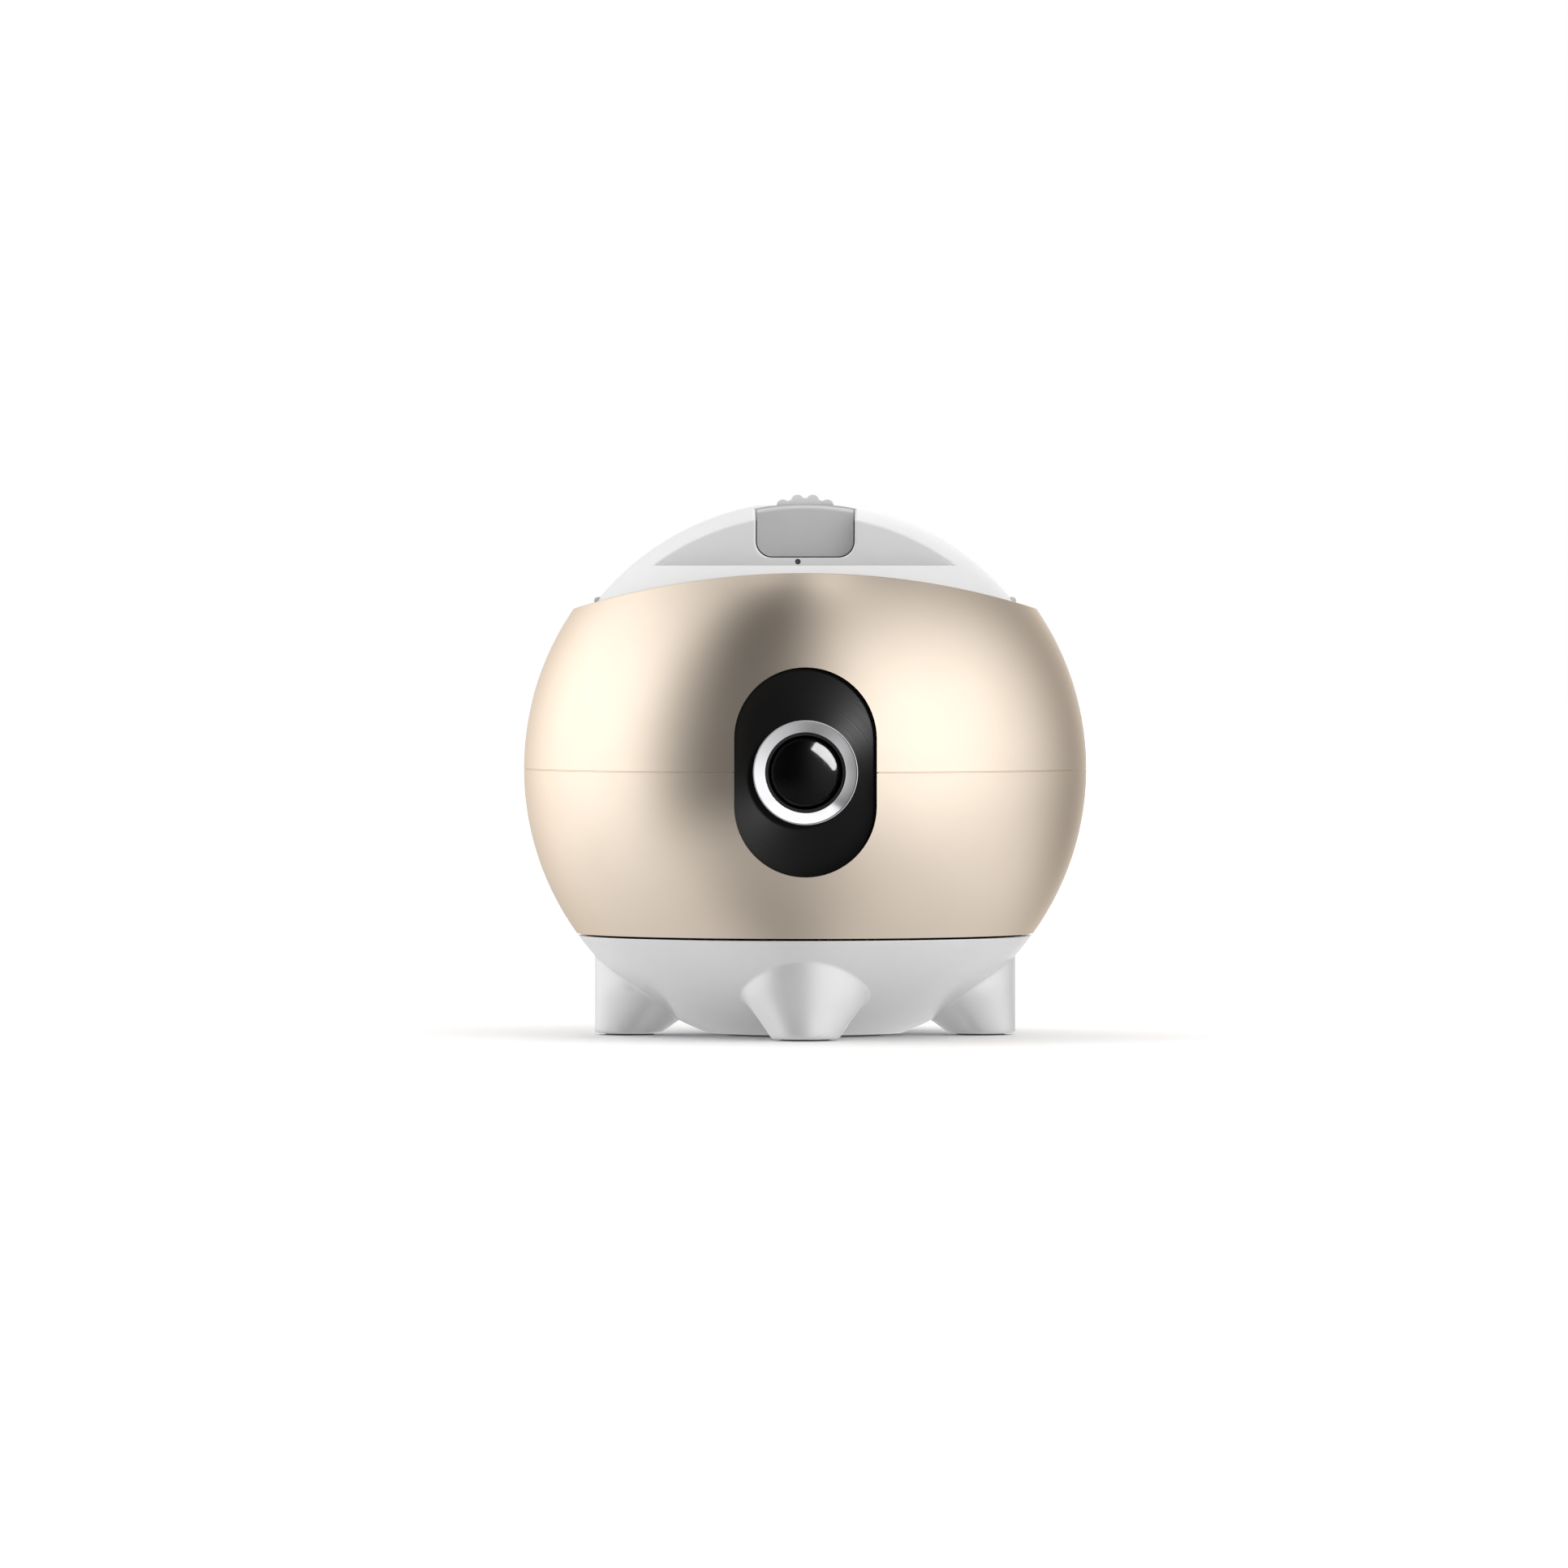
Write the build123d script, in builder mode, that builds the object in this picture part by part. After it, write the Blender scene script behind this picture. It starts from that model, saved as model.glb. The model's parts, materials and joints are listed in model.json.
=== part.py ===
from build123d import *
import math
import os

# Home security camera: a 100 mm ball that pans on a four-legged base.
# Millimetres, +Z up. The origin is on the floor under the ball's centre. The lens faces -Y.
# Heights that end in _z are measured from the floor, and those that end in _up from the ball's centre.

# ---- Driving dimensions ----
ball_r = 50.0
ball_z = 47.3
gold_wall = 2.2
gold_inner_r = ball_r - gold_wall
seam_gap = 0.12
seam_chamfer = 0.08

split_z = 17.9
pan_gap = 0.4
base_rim_z = split_z - pan_gap / 2
shell_foot_z = split_z + pan_gap / 2

arch_r = 136.0
arch_crown_up = 34.8
arch_edge_fillet = 0.4
arch_edge_up = 20.0

window_w = 24.9
window_h = 36.7

cap_r = 47.5
cap_wall = 2.0
cap_inner_r = cap_r - cap_wall
cap_lap = 3.0
cap_flat_up = 46.75
recess_floor_up = 36.1
recess_wall_y = -15.0
recess_plinth_h = 1.3
recess_plinth_d = 0.25
plinth_inset = 0.6
microphone_x = -1.3
microphone_hole_r = 0.5

pocket_w = 17.5
pocket_floor_up = 37.5
pocket_corner_r = 2.9
pocket_wall = 1.6
key_face_y = -10.4
key_t = 2.5
key_gap = 0.2

wheel_r = 9.8
wheel_up = 39.0
wheel_lobes = 20
wheel_w = 7.0
wheel_front_y = 0.0
wheel_slot_gap = 0.4
wheel_hub_gap = 0.05
wheel_axle_r = 1.5

base_wall = 2.0
base_inner_r = ball_r - base_wall
hub_face_z = 0.4
leg_count = 4
leg_outer_r = 37.4
leg_sole_z = 0.3
leg_top_z = 13.7
pad_centre_r = 31.2
pad_r = 4.4
pad_recess = 0.8

gear_module = 0.6
gear_teeth = 60
pinion_teeth = 10
gear_addendum = 0.8 * gear_module
gear_root_depth = 1.2 * gear_module
gear_play = 0.10
gear_flank_deg = 20.0
gear_pitch_r = gear_module * gear_teeth / 2
pinion_pitch_r = gear_module * pinion_teeth / 2
gear_centres = gear_pitch_r + pinion_pitch_r
motor_shaft_r = 1.0
running_gap = 0.05

deck_z = 13.5
deck_t = 2.0
deck_r = 34.0
hub_tube_r = 8.0
hub_tube_bore_r = 5.5
hub_tube_top_z = 26.0
pan_gear_t = 3.0
washer_t = 0.7
washer_r = 13.0
table_z = deck_z + deck_t + pan_gear_t + washer_t
table_t = 2.0
table_r = 34.5
table_top_z = table_z + table_t
sleeve_r = 11.0
sleeve_top_z = 23.8
nut_z = 24.0
nut_r = 10.6
shaft_hole_r = 2.0
stop_r = 29.0
stop_pin_r = 1.5
stop_pin_h = 2.9
stop_tab_w = 4.0
stop_tab_d = 3.0
stop_tab_h = 2.0

carriage_r = 47.3
carriage_wall = 2.0
carriage_inner_r = carriage_r - carriage_wall
carriage_half_w = 18.0
carriage_half_h = 24.4
cheek_t = 2.0
trunnion_r = 3.0
arm_gap = 3.0
arm_t = 3.0
arm_inner_x = carriage_half_w + arm_gap
arm_outer_x = arm_inner_x + arm_t
arm_half_d = 6.0
sector_t = 2.5
sector_half_deg = 21.0

ring_r = 9.15
ring_inner_r = 7.0
ring_seat_y = -46.0
ring_front_y = -50.0
ring_bevel = 0.9
ring_inner_bevel = 0.55
barrel_r = 6.95
barrel_bore_r = 5.2
barrel_front_y = -48.0
barrel_back_y = -26.0
front_lens_r = 6.5
sensor_board_y = -20.0

motor_r = 9.5
board_t = 1.6
screw_r = 1.0
screw_head_r = 1.9
screw_head_h = 0.8
clearance = 10.0


# ---- Shared shapes ----
def ball(radius):
    """A solid ball about the camera's centre."""
    with BuildPart() as body:
        with Locations((0, 0, ball_z)):
            Sphere(radius)
    return body.part


def ball_wall(outer, inner, low_z, high_z):
    """A spherical wall between two heights, turned about the vertical axis."""
    with BuildPart() as body:
        with BuildSketch(Plane.XZ):
            with Locations((0, ball_z)):
                Circle(outer)
                Circle(inner, mode=Mode.SUBTRACT)
            with Locations((outer / 2, (low_z + high_z) / 2)):
                Rectangle(outer, high_z - low_z, mode=Mode.INTERSECT)
        revolve(axis=Axis.Z)
    return body.part


def ring(outer, inner, low_z, high_z):
    """A flat ring about the vertical axis."""
    with BuildPart() as body:
        with BuildSketch(Plane.XY.offset(low_z)):
            Circle(outer)
            Circle(inner, mode=Mode.SUBTRACT)
        extrude(amount=high_z - low_z)
    return body.part


def arch_block(crown_up):
    """Everything below the arch, which is a large cylinder lying along Y."""
    with BuildPart() as body:
        with BuildSketch(Plane.XZ):
            with Locations((0, ball_z + crown_up - arch_r)):
                Circle(arch_r)
        extrude(amount=ball_r + clearance, both=True)
    return body.part


def window_prism():
    """The upright stadium-shaped opening in front of the lens."""
    with BuildPart() as body:
        with BuildSketch(Plane.XZ):
            with Locations((0, ball_z)):
                SlotOverall(window_h, window_w, rotation=90)
        extrude(amount=ball_r + clearance)
    return body.part


def gear_outline(teeth, turn_deg):
    """Corners of a straight-flanked spur gear, with a tooth at the angle turn_deg."""
    pitch_r = gear_module * teeth / 2
    tip_r = pitch_r + gear_addendum
    root_r = pitch_r - gear_root_depth
    half_pitch_w = math.pi * gear_module / 4 - gear_play
    slope = math.tan(math.radians(gear_flank_deg))
    half_tip = (half_pitch_w - gear_addendum * slope) / tip_r
    half_root = (half_pitch_w + gear_root_depth * slope) / root_r
    corners = []
    for tooth in range(teeth):
        middle = math.radians(turn_deg) + 2 * math.pi * tooth / teeth
        corner_list = ((root_r, -half_root), (tip_r, -half_tip), (tip_r, half_tip), (root_r, half_root))
        for radius, offset in corner_list:
            angle = middle + offset
            corners.append((radius * math.cos(angle), radius * math.sin(angle)))
    return corners


def spur_gear(teeth, turn_deg, bore_r, thickness, plane):
    """A spur gear standing on a plane, about the plane's origin."""
    with BuildPart() as body:
        with BuildSketch(plane):
            with BuildLine():
                Polyline(*gear_outline(teeth, turn_deg), close=True)
            make_face()
            Circle(bore_r, mode=Mode.SUBTRACT)
        extrude(amount=thickness)
    return body.part


def screws(places, length, plane):
    """Pan-head screws, one solid at each place: heads on the plane's front, shanks behind it."""
    with BuildPart() as body:
        with BuildSketch(plane):
            with Locations(*places):
                Circle(screw_head_r)
        extrude(amount=screw_head_h)
        with BuildSketch(plane):
            with Locations(*places):
                Circle(screw_r)
        extrude(amount=-length)
    return body.part


def finish(part, name):
    """Label one finished piece and write it."""
    part.label = name
    export_step(part, f"parts/{name}.step")


os.makedirs("parts", exist_ok=True)

# ---- Base: bowl and legs ----
leg_sections = (
    (leg_sole_z, 6.0),
    (1.8, 7.0),
    (3.3, 8.1),
    (4.6, 9.1),
    (5.8, 10.1),
    (7.0, 11.1),
    (8.0, 11.7),
    (9.2, 11.9),
    (11.5, 11.6),
    (leg_top_z, 11.2),
)

with BuildPart() as leg:
    for section_z, section_r in leg_sections:
        with BuildSketch(Plane.XY.offset(section_z)):
            with Locations((leg_outer_r - section_r, 0)):
                Circle(section_r)
    loft(ruled=True)

inlet_w = 8.8
inlet_h = 3.0
inlet_corner_r = 0.6
inlet_gap = 0.1
inlet_wall = 0.6
tongue_w = 5.6
tongue_t = 0.7
inlet_z = 7.9
inlet_inner_r = 20.5
inlet_outer_r = 29.0
inlet_depth = 5.5
inlet_deg = 45.0
inlet_out = (math.cos(math.radians(inlet_deg)), math.sin(math.radians(inlet_deg)), 0)
inlet_across = (-inlet_out[1], inlet_out[0], 0)
inlet_axis_plane = Plane(origin=(0, 0, inlet_z), x_dir=inlet_across, z_dir=inlet_out)
inlet_face_plane = inlet_axis_plane.offset(inlet_outer_r)
post_deg = 20.0
post_r = 2.5
post_centre_r = 27.5
post_base_z = 5.0
post_screw_depth = 4.5
cover_r = 14.0
cover_flange_r = 16.0
cover_flange_z = 2.6
cover_flange_t = 1.2
cover_gap = 0.15
hub_ring_r = 17.2
pad_gap = 0.1

with BuildPart() as deck_posts:
    with BuildSketch(Plane.XY.offset(post_base_z)):
        with PolarLocations(post_centre_r, leg_count, start_angle=post_deg):
            Circle(post_r)
    extrude(amount=deck_z - post_base_z)
    add(ball(base_inner_r + base_wall / 2), mode=Mode.INTERSECT)
    with BuildSketch(Plane.XY.offset(deck_z)):
        with PolarLocations(post_centre_r, leg_count, start_angle=post_deg):
            Circle(screw_r)
    extrude(amount=-post_screw_depth, mode=Mode.SUBTRACT)

with BuildPart() as base_shell:
    add(ball_wall(ball_r, base_inner_r, hub_face_z, base_rim_z))
    with PolarLocations(0, leg_count):
        add(leg.part)
    add(ball(base_inner_r), mode=Mode.SUBTRACT)
    add(ring(hub_ring_r, cover_r, hub_face_z, cover_flange_z))
    with BuildSketch(Plane.XY):
        Circle(cover_r)
    extrude(amount=cover_flange_z, mode=Mode.SUBTRACT)
    with BuildSketch(Plane.XY.offset(leg_sole_z)):
        with PolarLocations(pad_centre_r, leg_count):
            Circle(pad_r)
    extrude(amount=pad_recess, mode=Mode.SUBTRACT)
    with BuildSketch(inlet_axis_plane):
        RectangleRounded(inlet_w, inlet_h, inlet_corner_r)
    extrude(amount=ball_r, mode=Mode.SUBTRACT)
    add(deck_posts.part)
finish(base_shell.part, "base_shell")

with BuildPart() as foot_pads:
    with BuildSketch(Plane.XY):
        with PolarLocations(pad_centre_r, leg_count):
            Circle(pad_r - pad_gap)
    extrude(amount=leg_sole_z + pad_recess)
finish(foot_pads.part, "foot_pads")

# ---- Base: cover, insert, ballast and power ----
insert_r = 4.6
thread_r = 3.175
insert_top_z = 7.4
boss_r = 7.0

with BuildPart() as base_cover:
    add(ring(cover_r - cover_gap, insert_r, hub_face_z, cover_flange_z))
    add(ring(cover_flange_r, insert_r, cover_flange_z, cover_flange_z + cover_flange_t))
    add(ring(boss_r, insert_r, cover_flange_z, insert_top_z))
finish(base_cover.part, "base_cover")

with BuildPart() as tripod_insert:
    add(ring(insert_r, thread_r, hub_face_z, insert_top_z))
finish(tripod_insert.part, "tripod_insert")

ballast_r = 20.0
ballast_bore_r = 9.0
ballast_z = 5.0
base_board_z = 9.4
base_board_r = 24.0

with BuildPart() as ballast_ring:
    add(ring(ballast_r, ballast_bore_r, ballast_z, base_board_z))
finish(ballast_ring.part, "ballast_ring")

with BuildPart() as base_board:
    with BuildSketch(Plane.XY.offset(base_board_z)):
        Circle(base_board_r)
        Circle(hub_tube_bore_r, mode=Mode.SUBTRACT)
    extrude(amount=board_t)
finish(base_board.part, "base_board")

with BuildPart() as power_inlet:
    with BuildSketch(inlet_face_plane):
        RectangleRounded(inlet_w - 2 * inlet_gap, inlet_h - 2 * inlet_gap, inlet_corner_r - inlet_gap)
    extrude(amount=inlet_inner_r - inlet_outer_r)
    with BuildSketch(inlet_face_plane):
        RectangleRounded(inlet_w - 2 * inlet_wall, inlet_h - 2 * inlet_wall, inlet_corner_r - 2 * inlet_gap)
        Rectangle(tongue_w, tongue_t, mode=Mode.SUBTRACT)
    extrude(amount=-inlet_depth, mode=Mode.SUBTRACT)
finish(power_inlet.part, "power_inlet")

# ---- Base: pan bearing ----
with BuildPart() as base_deck:
    add(ring(deck_r, hub_tube_bore_r, deck_z, deck_z + deck_t))
    add(ring(hub_tube_r, hub_tube_bore_r, deck_z, hub_tube_top_z))
    with BuildSketch(Plane.XY.offset(deck_z + deck_t)):
        with Locations((0, stop_r)):
            Circle(stop_pin_r)
    extrude(amount=stop_pin_h)
    with BuildSketch(Plane.XY.offset(deck_z)):
        with PolarLocations(post_centre_r, leg_count, start_angle=post_deg):
            Circle(screw_r)
    extrude(amount=deck_t, mode=Mode.SUBTRACT)
finish(base_deck.part, "base_deck")

gear_z = deck_z + deck_t
with BuildPart() as pan_gear:
    add(spur_gear(gear_teeth, 0, hub_tube_r, pan_gear_t, Plane.XY.offset(gear_z)))
finish(pan_gear.part, "pan_gear")

with BuildPart() as thrust_washer:
    add(ring(washer_r, hub_tube_r, gear_z + pan_gear_t, table_z))
finish(thrust_washer.part, "thrust_washer")

with BuildPart() as hub_nut:
    with BuildSketch(Plane.XY.offset(nut_z)):
        RegularPolygon(nut_r, 6)
        Circle(hub_tube_r, mode=Mode.SUBTRACT)
    extrude(amount=hub_tube_top_z - nut_z)
finish(hub_nut.part, "hub_nut")

deck_screw_places = []
for quarter in range(leg_count):
    angle = math.radians(post_deg + 90 * quarter)
    deck_screw_places.append((post_centre_r * math.cos(angle), post_centre_r * math.sin(angle)))
finish(screws(deck_screw_places, deck_t + post_screw_depth, Plane.XY.offset(gear_z)), "deck_screws")

# ---- Head: turntable ----
lug_screw_r = 32.0
lug_angles = (0, 90, 180)
lug_half_w = 4.0
lug_t = 2.5
lug_middle_r = 39.0
lug_l = 22.0
lug_face_r = 30.0
lug_bite = 0.8
pan_motor_deg = 135.0
pan_motor_x = gear_centres * math.cos(math.radians(pan_motor_deg))
pan_motor_y = gear_centres * math.sin(math.radians(pan_motor_deg))
lug_places = []
for lug_deg in lug_angles:
    angle = math.radians(lug_deg)
    lug_places.append((lug_screw_r * math.cos(angle), lug_screw_r * math.sin(angle)))

with BuildPart() as turntable:
    add(ring(table_r, hub_tube_r + running_gap, table_z, table_top_z))
    add(ring(sleeve_r, hub_tube_r + running_gap, table_top_z, sleeve_top_z))
    with BuildSketch(Plane.XY.offset(table_z)):
        with Locations((0, -stop_r)):
            Rectangle(stop_tab_w, stop_tab_d)
    extrude(amount=-stop_tab_h)
    with BuildSketch(Plane.XY.offset(table_z)):
        with Locations(*lug_places):
            Circle(screw_r)
        with Locations((pan_motor_x, pan_motor_y)):
            Circle(shaft_hole_r)
    extrude(amount=table_t, mode=Mode.SUBTRACT)
finish(turntable.part, "turntable")

# ---- Head: gold shells ----
rear_panel_w = 24.0
rear_panel_h = 9.0
rear_panel_up = -12.5
rear_panel_gap = 0.15
rear_panel_corner_r = 2.0
rear_panel_r = 49.3
rear_panel_inner_r = 47.2

with BuildPart() as shell_lugs:
    with BuildSketch(Plane.XY.offset(table_top_z)):
        with PolarLocations(0, len(lug_angles), start_angle=0, angular_range=270):
            with Locations((lug_middle_r, 0)):
                Rectangle(lug_l, 2 * lug_half_w)
        with Locations(*lug_places):
            Circle(screw_r, mode=Mode.SUBTRACT)
    extrude(amount=lug_t)
    add(ball(gold_inner_r + lug_bite), mode=Mode.INTERSECT)
    with BuildSketch(Plane.XY.offset(table_top_z)):
        Circle(lug_face_r)
    extrude(amount=lug_t, mode=Mode.SUBTRACT)

with BuildPart() as rear_opening:
    with BuildSketch(Plane.XZ):
        with Locations((0, ball_z + rear_panel_up)):
            RectangleRounded(rear_panel_w, rear_panel_h, rear_panel_corner_r)
    extrude(amount=-(ball_r + clearance))

with BuildPart() as lower_gold_shell:
    add(ball_wall(ball_r, gold_inner_r, shell_foot_z, ball_z - seam_gap / 2))
    chamfer(lower_gold_shell.edges().group_by(Axis.Z)[-1].sort_by(SortBy.LENGTH)[-1], seam_chamfer)
    add(window_prism(), mode=Mode.SUBTRACT)
    add(rear_opening.part, mode=Mode.SUBTRACT)
    add(shell_lugs.part)
finish(lower_gold_shell.part, "lower_gold_shell")

grille_deg = 25.0
grille_hole_r = 0.55
grille_pitch = 2.2
grille_count = 5
grille_plane = Plane(
    origin=(0, 0, ball_z),
    x_dir=(1, 0, 0),
    z_dir=(0, math.cos(math.radians(grille_deg)), math.sin(math.radians(grille_deg))),
)

with BuildPart() as upper_gold_shell:
    add(ball_wall(ball_r, gold_inner_r, ball_z + seam_gap / 2, ball_z + ball_r))
    chamfer(upper_gold_shell.edges().group_by(Axis.Z)[0].sort_by(SortBy.LENGTH)[-1], seam_chamfer)
    add(arch_block(arch_crown_up), mode=Mode.INTERSECT)
    arch_edges = upper_gold_shell.edges().filter_by_position(Axis.Z, ball_z + arch_edge_up, ball_z + ball_r)
    fillet(arch_edges.sort_by(SortBy.LENGTH)[-1], arch_edge_fillet)
    add(window_prism(), mode=Mode.SUBTRACT)
    with BuildSketch(grille_plane):
        with HexLocations(grille_pitch / 2, grille_count, grille_count):
            Circle(grille_hole_r)
    extrude(amount=ball_r + clearance, mode=Mode.SUBTRACT)
finish(upper_gold_shell.part, "upper_gold_shell")

# ---- Head: white cap with its recess and key pocket ----
pocket_back_y = -6.4
pocket_sleeve_back_y = -8.6
clip_x = 36.6
clip_w = 1.7
clip_h = 3.2
clip_top_up = 30.5
clip_l = 6.0
clip_corner_r = 0.6
cap_edge_fillet = 0.45
edge_reach = 0.05
mouth_up = 37.4
lip_up = 45.3
clip_gap = 0.2
liner_t = 2.0
liner_back_y = recess_wall_y + liner_t
liner_bite = 0.5
microphone_up = recess_floor_up + 0.7
clip_z = ball_z + clip_top_up - clip_h / 2

with BuildPart() as cap_liner:
    with BuildSketch(Plane.XY.offset(ball_z + recess_floor_up - liner_t)):
        with Locations((0, (liner_back_y - ball_r) / 2)):
            Rectangle(2 * ball_r, ball_r + liner_back_y)
    extrude(amount=ball_r - recess_floor_up)
    with BuildSketch(Plane.XY.offset(ball_z + pocket_floor_up - pocket_wall)):
        with Locations((0, (recess_wall_y + pocket_sleeve_back_y) / 2)):
            Rectangle(pocket_w + 2 * pocket_wall, pocket_sleeve_back_y - recess_wall_y)
    extrude(amount=ball_r - pocket_floor_up)
    add(ball(cap_r - liner_bite), mode=Mode.INTERSECT)

with BuildPart() as pocket:
    with BuildSketch(Plane.XZ.offset(-pocket_back_y)):
        with Locations((0, ball_z + pocket_floor_up + ball_r / 2)):
            RectangleRounded(pocket_w, ball_r, pocket_corner_r)
    extrude(amount=pocket_back_y + ball_r)

with BuildPart() as top_cap:
    add(ball(cap_r))
    with BuildSketch(Plane.XY.offset(ball_z + cap_flat_up)):
        Circle(cap_r)
    extrude(amount=clearance, mode=Mode.SUBTRACT)
    add(ball(cap_inner_r), mode=Mode.SUBTRACT)
    add(arch_block(arch_crown_up - cap_lap), mode=Mode.SUBTRACT)
    add(cap_liner.part)
    with BuildSketch(Plane.XY.offset(ball_z + recess_floor_up)):
        with Locations((0, (recess_wall_y - ball_r) / 2)):
            Rectangle(2 * ball_r, ball_r + recess_wall_y)
    extrude(amount=ball_r, mode=Mode.SUBTRACT)
    add(pocket.part, mode=Mode.SUBTRACT)
    with BuildSketch(Plane.XZ.offset(-(wheel_front_y - wheel_slot_gap))):
        with Locations((0, ball_z + wheel_up)):
            Circle(wheel_r + wheel_slot_gap)
    extrude(amount=-(wheel_w + 2 * wheel_slot_gap), mode=Mode.SUBTRACT)
    with BuildSketch(Plane.XZ.offset(-recess_wall_y)):
        with Locations((microphone_x, ball_z + microphone_up)):
            Circle(microphone_hole_r)
    extrude(amount=recess_wall_y - pocket_sleeve_back_y, mode=Mode.SUBTRACT)
    with Locations((clip_x, 0, clip_z), (-clip_x, 0, clip_z)):
        Box(clip_w + 2 * clip_gap, clip_l + 2 * clip_gap, clip_h + 2 * clip_gap, mode=Mode.SUBTRACT)
    cap_edges = top_cap.edges()
    wall_edges = cap_edges.filter_by_position(Axis.Y, recess_wall_y - edge_reach, recess_wall_y + edge_reach)
    mouth_edges = wall_edges.filter_by_position(Axis.Z, ball_z + mouth_up, ball_z + ball_r)
    dome_edges = cap_edges.filter_by_position(Axis.Z, ball_z + lip_up, ball_z + ball_r)
    lip_edges = dome_edges.filter_by_position(Axis.Y, recess_wall_y + edge_reach, pocket_back_y - edge_reach)
    fillet(mouth_edges + lip_edges, cap_edge_fillet)
finish(top_cap.part, "top_cap")

with BuildPart() as recess_plinth:
    with BuildSketch(Plane.XZ.offset(-recess_wall_y)):
        with Locations((0, ball_z + recess_floor_up + recess_plinth_h / 2)):
            Rectangle(2 * ball_r, recess_plinth_h)
        with Locations((microphone_x, ball_z + microphone_up)):
            Circle(microphone_hole_r, mode=Mode.SUBTRACT)
    extrude(amount=recess_plinth_d)
    add(ball(cap_r - plinth_inset), mode=Mode.INTERSECT)
finish(recess_plinth.part, "recess_strip")

with BuildPart() as cap_clips:
    with BuildSketch(Plane.XZ):
        with Locations((clip_x, clip_z), (-clip_x, clip_z)):
            RectangleRounded(clip_w, clip_h, clip_corner_r)
    extrude(amount=clip_l / 2, both=True)
finish(cap_clips.part, "cap_clips")

# ---- Head: call key and its switch ----
key_up = pocket_floor_up + 4.0
plunger_r = 1.2
plunger_l = 1.3
plunger_gap = 0.35
key_edge_fillet = 0.4
switch_w = 6.0
switch_front_y = -6.8
switch_back_y = -4.5
key_board_t = 1.2
key_board_w = 15.0
key_board_top_up = 43.3

with BuildPart() as call_key:
    with BuildSketch(Plane.XZ.offset(-(key_face_y + key_t))):
        with Locations((0, ball_z + pocket_floor_up + key_gap + ball_r / 2)):
            RectangleRounded(pocket_w - 2 * key_gap, ball_r, pocket_corner_r - key_gap)
    extrude(amount=key_t)
    add(ball(cap_r), mode=Mode.INTERSECT)
    fillet(call_key.faces().sort_by(Axis.Y)[0].edges(), key_edge_fillet)
    with BuildSketch(Plane.XZ.offset(-(key_face_y + key_t))):
        with Locations((0, ball_z + key_up)):
            Circle(plunger_r)
    extrude(amount=-plunger_l)
finish(call_key.part, "call_key")

with BuildPart() as key_switch:
    with BuildSketch(Plane.XZ.offset(-switch_front_y)):
        with Locations((0, ball_z + key_up)):
            Rectangle(switch_w, switch_w)
            Circle(plunger_r + plunger_gap, mode=Mode.SUBTRACT)
    extrude(amount=-(switch_back_y - switch_front_y))
finish(key_switch.part, "key_switch")

# ---- Head: thumb wheel on its axle, bracket and encoder ----
top_frame_up = 25.0
top_frame_t = 2.0
top_frame_top_z = ball_z + top_frame_up + top_frame_t
ear_t = 1.8
ear_gap = 0.8
ear_half_w = 5.0
ear_top_up = 42.5
wheel_back_y = wheel_front_y + wheel_w
axle_front_y = -2.8
axle_back_y = 12.1
bracket_floor_t = 1.2
encoder_w = 8.4
encoder_t = 3.5
lobe_r = 1.15
lobe_height = 0.69
first_lobe_deg = 90 + 180 / wheel_lobes

with BuildPart() as thumb_wheel:
    with BuildSketch(Plane.XZ.offset(-wheel_front_y)):
        with Locations((0, ball_z + wheel_up)):
            Circle(wheel_r - lobe_height)
            with PolarLocations(wheel_r - lobe_r, wheel_lobes, start_angle=first_lobe_deg):
                Circle(lobe_r)
            Circle(wheel_axle_r, mode=Mode.SUBTRACT)
    extrude(amount=-wheel_w)
finish(thumb_wheel.part, "thumb_wheel")

with BuildPart() as wheel_axle:
    with BuildSketch(Plane.XZ.offset(-axle_front_y)):
        with Locations((0, ball_z + wheel_up)):
            Circle(wheel_axle_r)
    extrude(amount=-(axle_back_y - axle_front_y))
finish(wheel_axle.part, "wheel_axle")

with BuildPart() as wheel_bracket:
    for ear_y in (wheel_front_y - ear_gap - ear_t, wheel_back_y + ear_gap):
        with BuildSketch(Plane.XZ.offset(-ear_y)):
            with Locations((0, (top_frame_top_z + ball_z + ear_top_up) / 2)):
                Rectangle(2 * ear_half_w, ball_z + ear_top_up - top_frame_top_z)
            with Locations((0, ball_z + wheel_up)):
                Circle(wheel_axle_r + wheel_hub_gap, mode=Mode.SUBTRACT)
        extrude(amount=-ear_t)
    with BuildSketch(Plane.XY.offset(top_frame_top_z)):
        with Locations((0, (wheel_front_y + wheel_back_y) / 2)):
            Rectangle(2 * ear_half_w, wheel_w + 2 * ear_gap + 2 * ear_t)
    extrude(amount=bracket_floor_t)
finish(wheel_bracket.part, "wheel_bracket")

with BuildPart() as wheel_encoder:
    with BuildSketch(Plane.XZ.offset(-(wheel_back_y + ear_gap + ear_t))):
        with Locations((0, ball_z + wheel_up)):
            Rectangle(encoder_w, encoder_w)
            Circle(wheel_axle_r + wheel_hub_gap, mode=Mode.SUBTRACT)
    extrude(amount=-encoder_t)
finish(wheel_encoder.part, "wheel_encoder")

with BuildPart() as key_board:
    with BuildSketch(Plane.XZ.offset(-switch_back_y)):
        with Locations((0, (top_frame_top_z + ball_z + key_board_top_up) / 2)):
            Rectangle(key_board_w, ball_z + key_board_top_up - top_frame_top_z)
    extrude(amount=-key_board_t)
finish(key_board.part, "key_board")

microphone_w = 3.5
microphone_h = 2.0
microphone_t = 1.2
microphone_can_up = recess_floor_up + 0.2
with BuildPart() as microphone:
    with BuildSketch(Plane.XZ.offset(-pocket_sleeve_back_y)):
        with Locations((microphone_x, ball_z + microphone_can_up)):
            Rectangle(microphone_w, microphone_h)
    extrude(amount=-microphone_t)
finish(microphone.part, "microphone")

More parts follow.
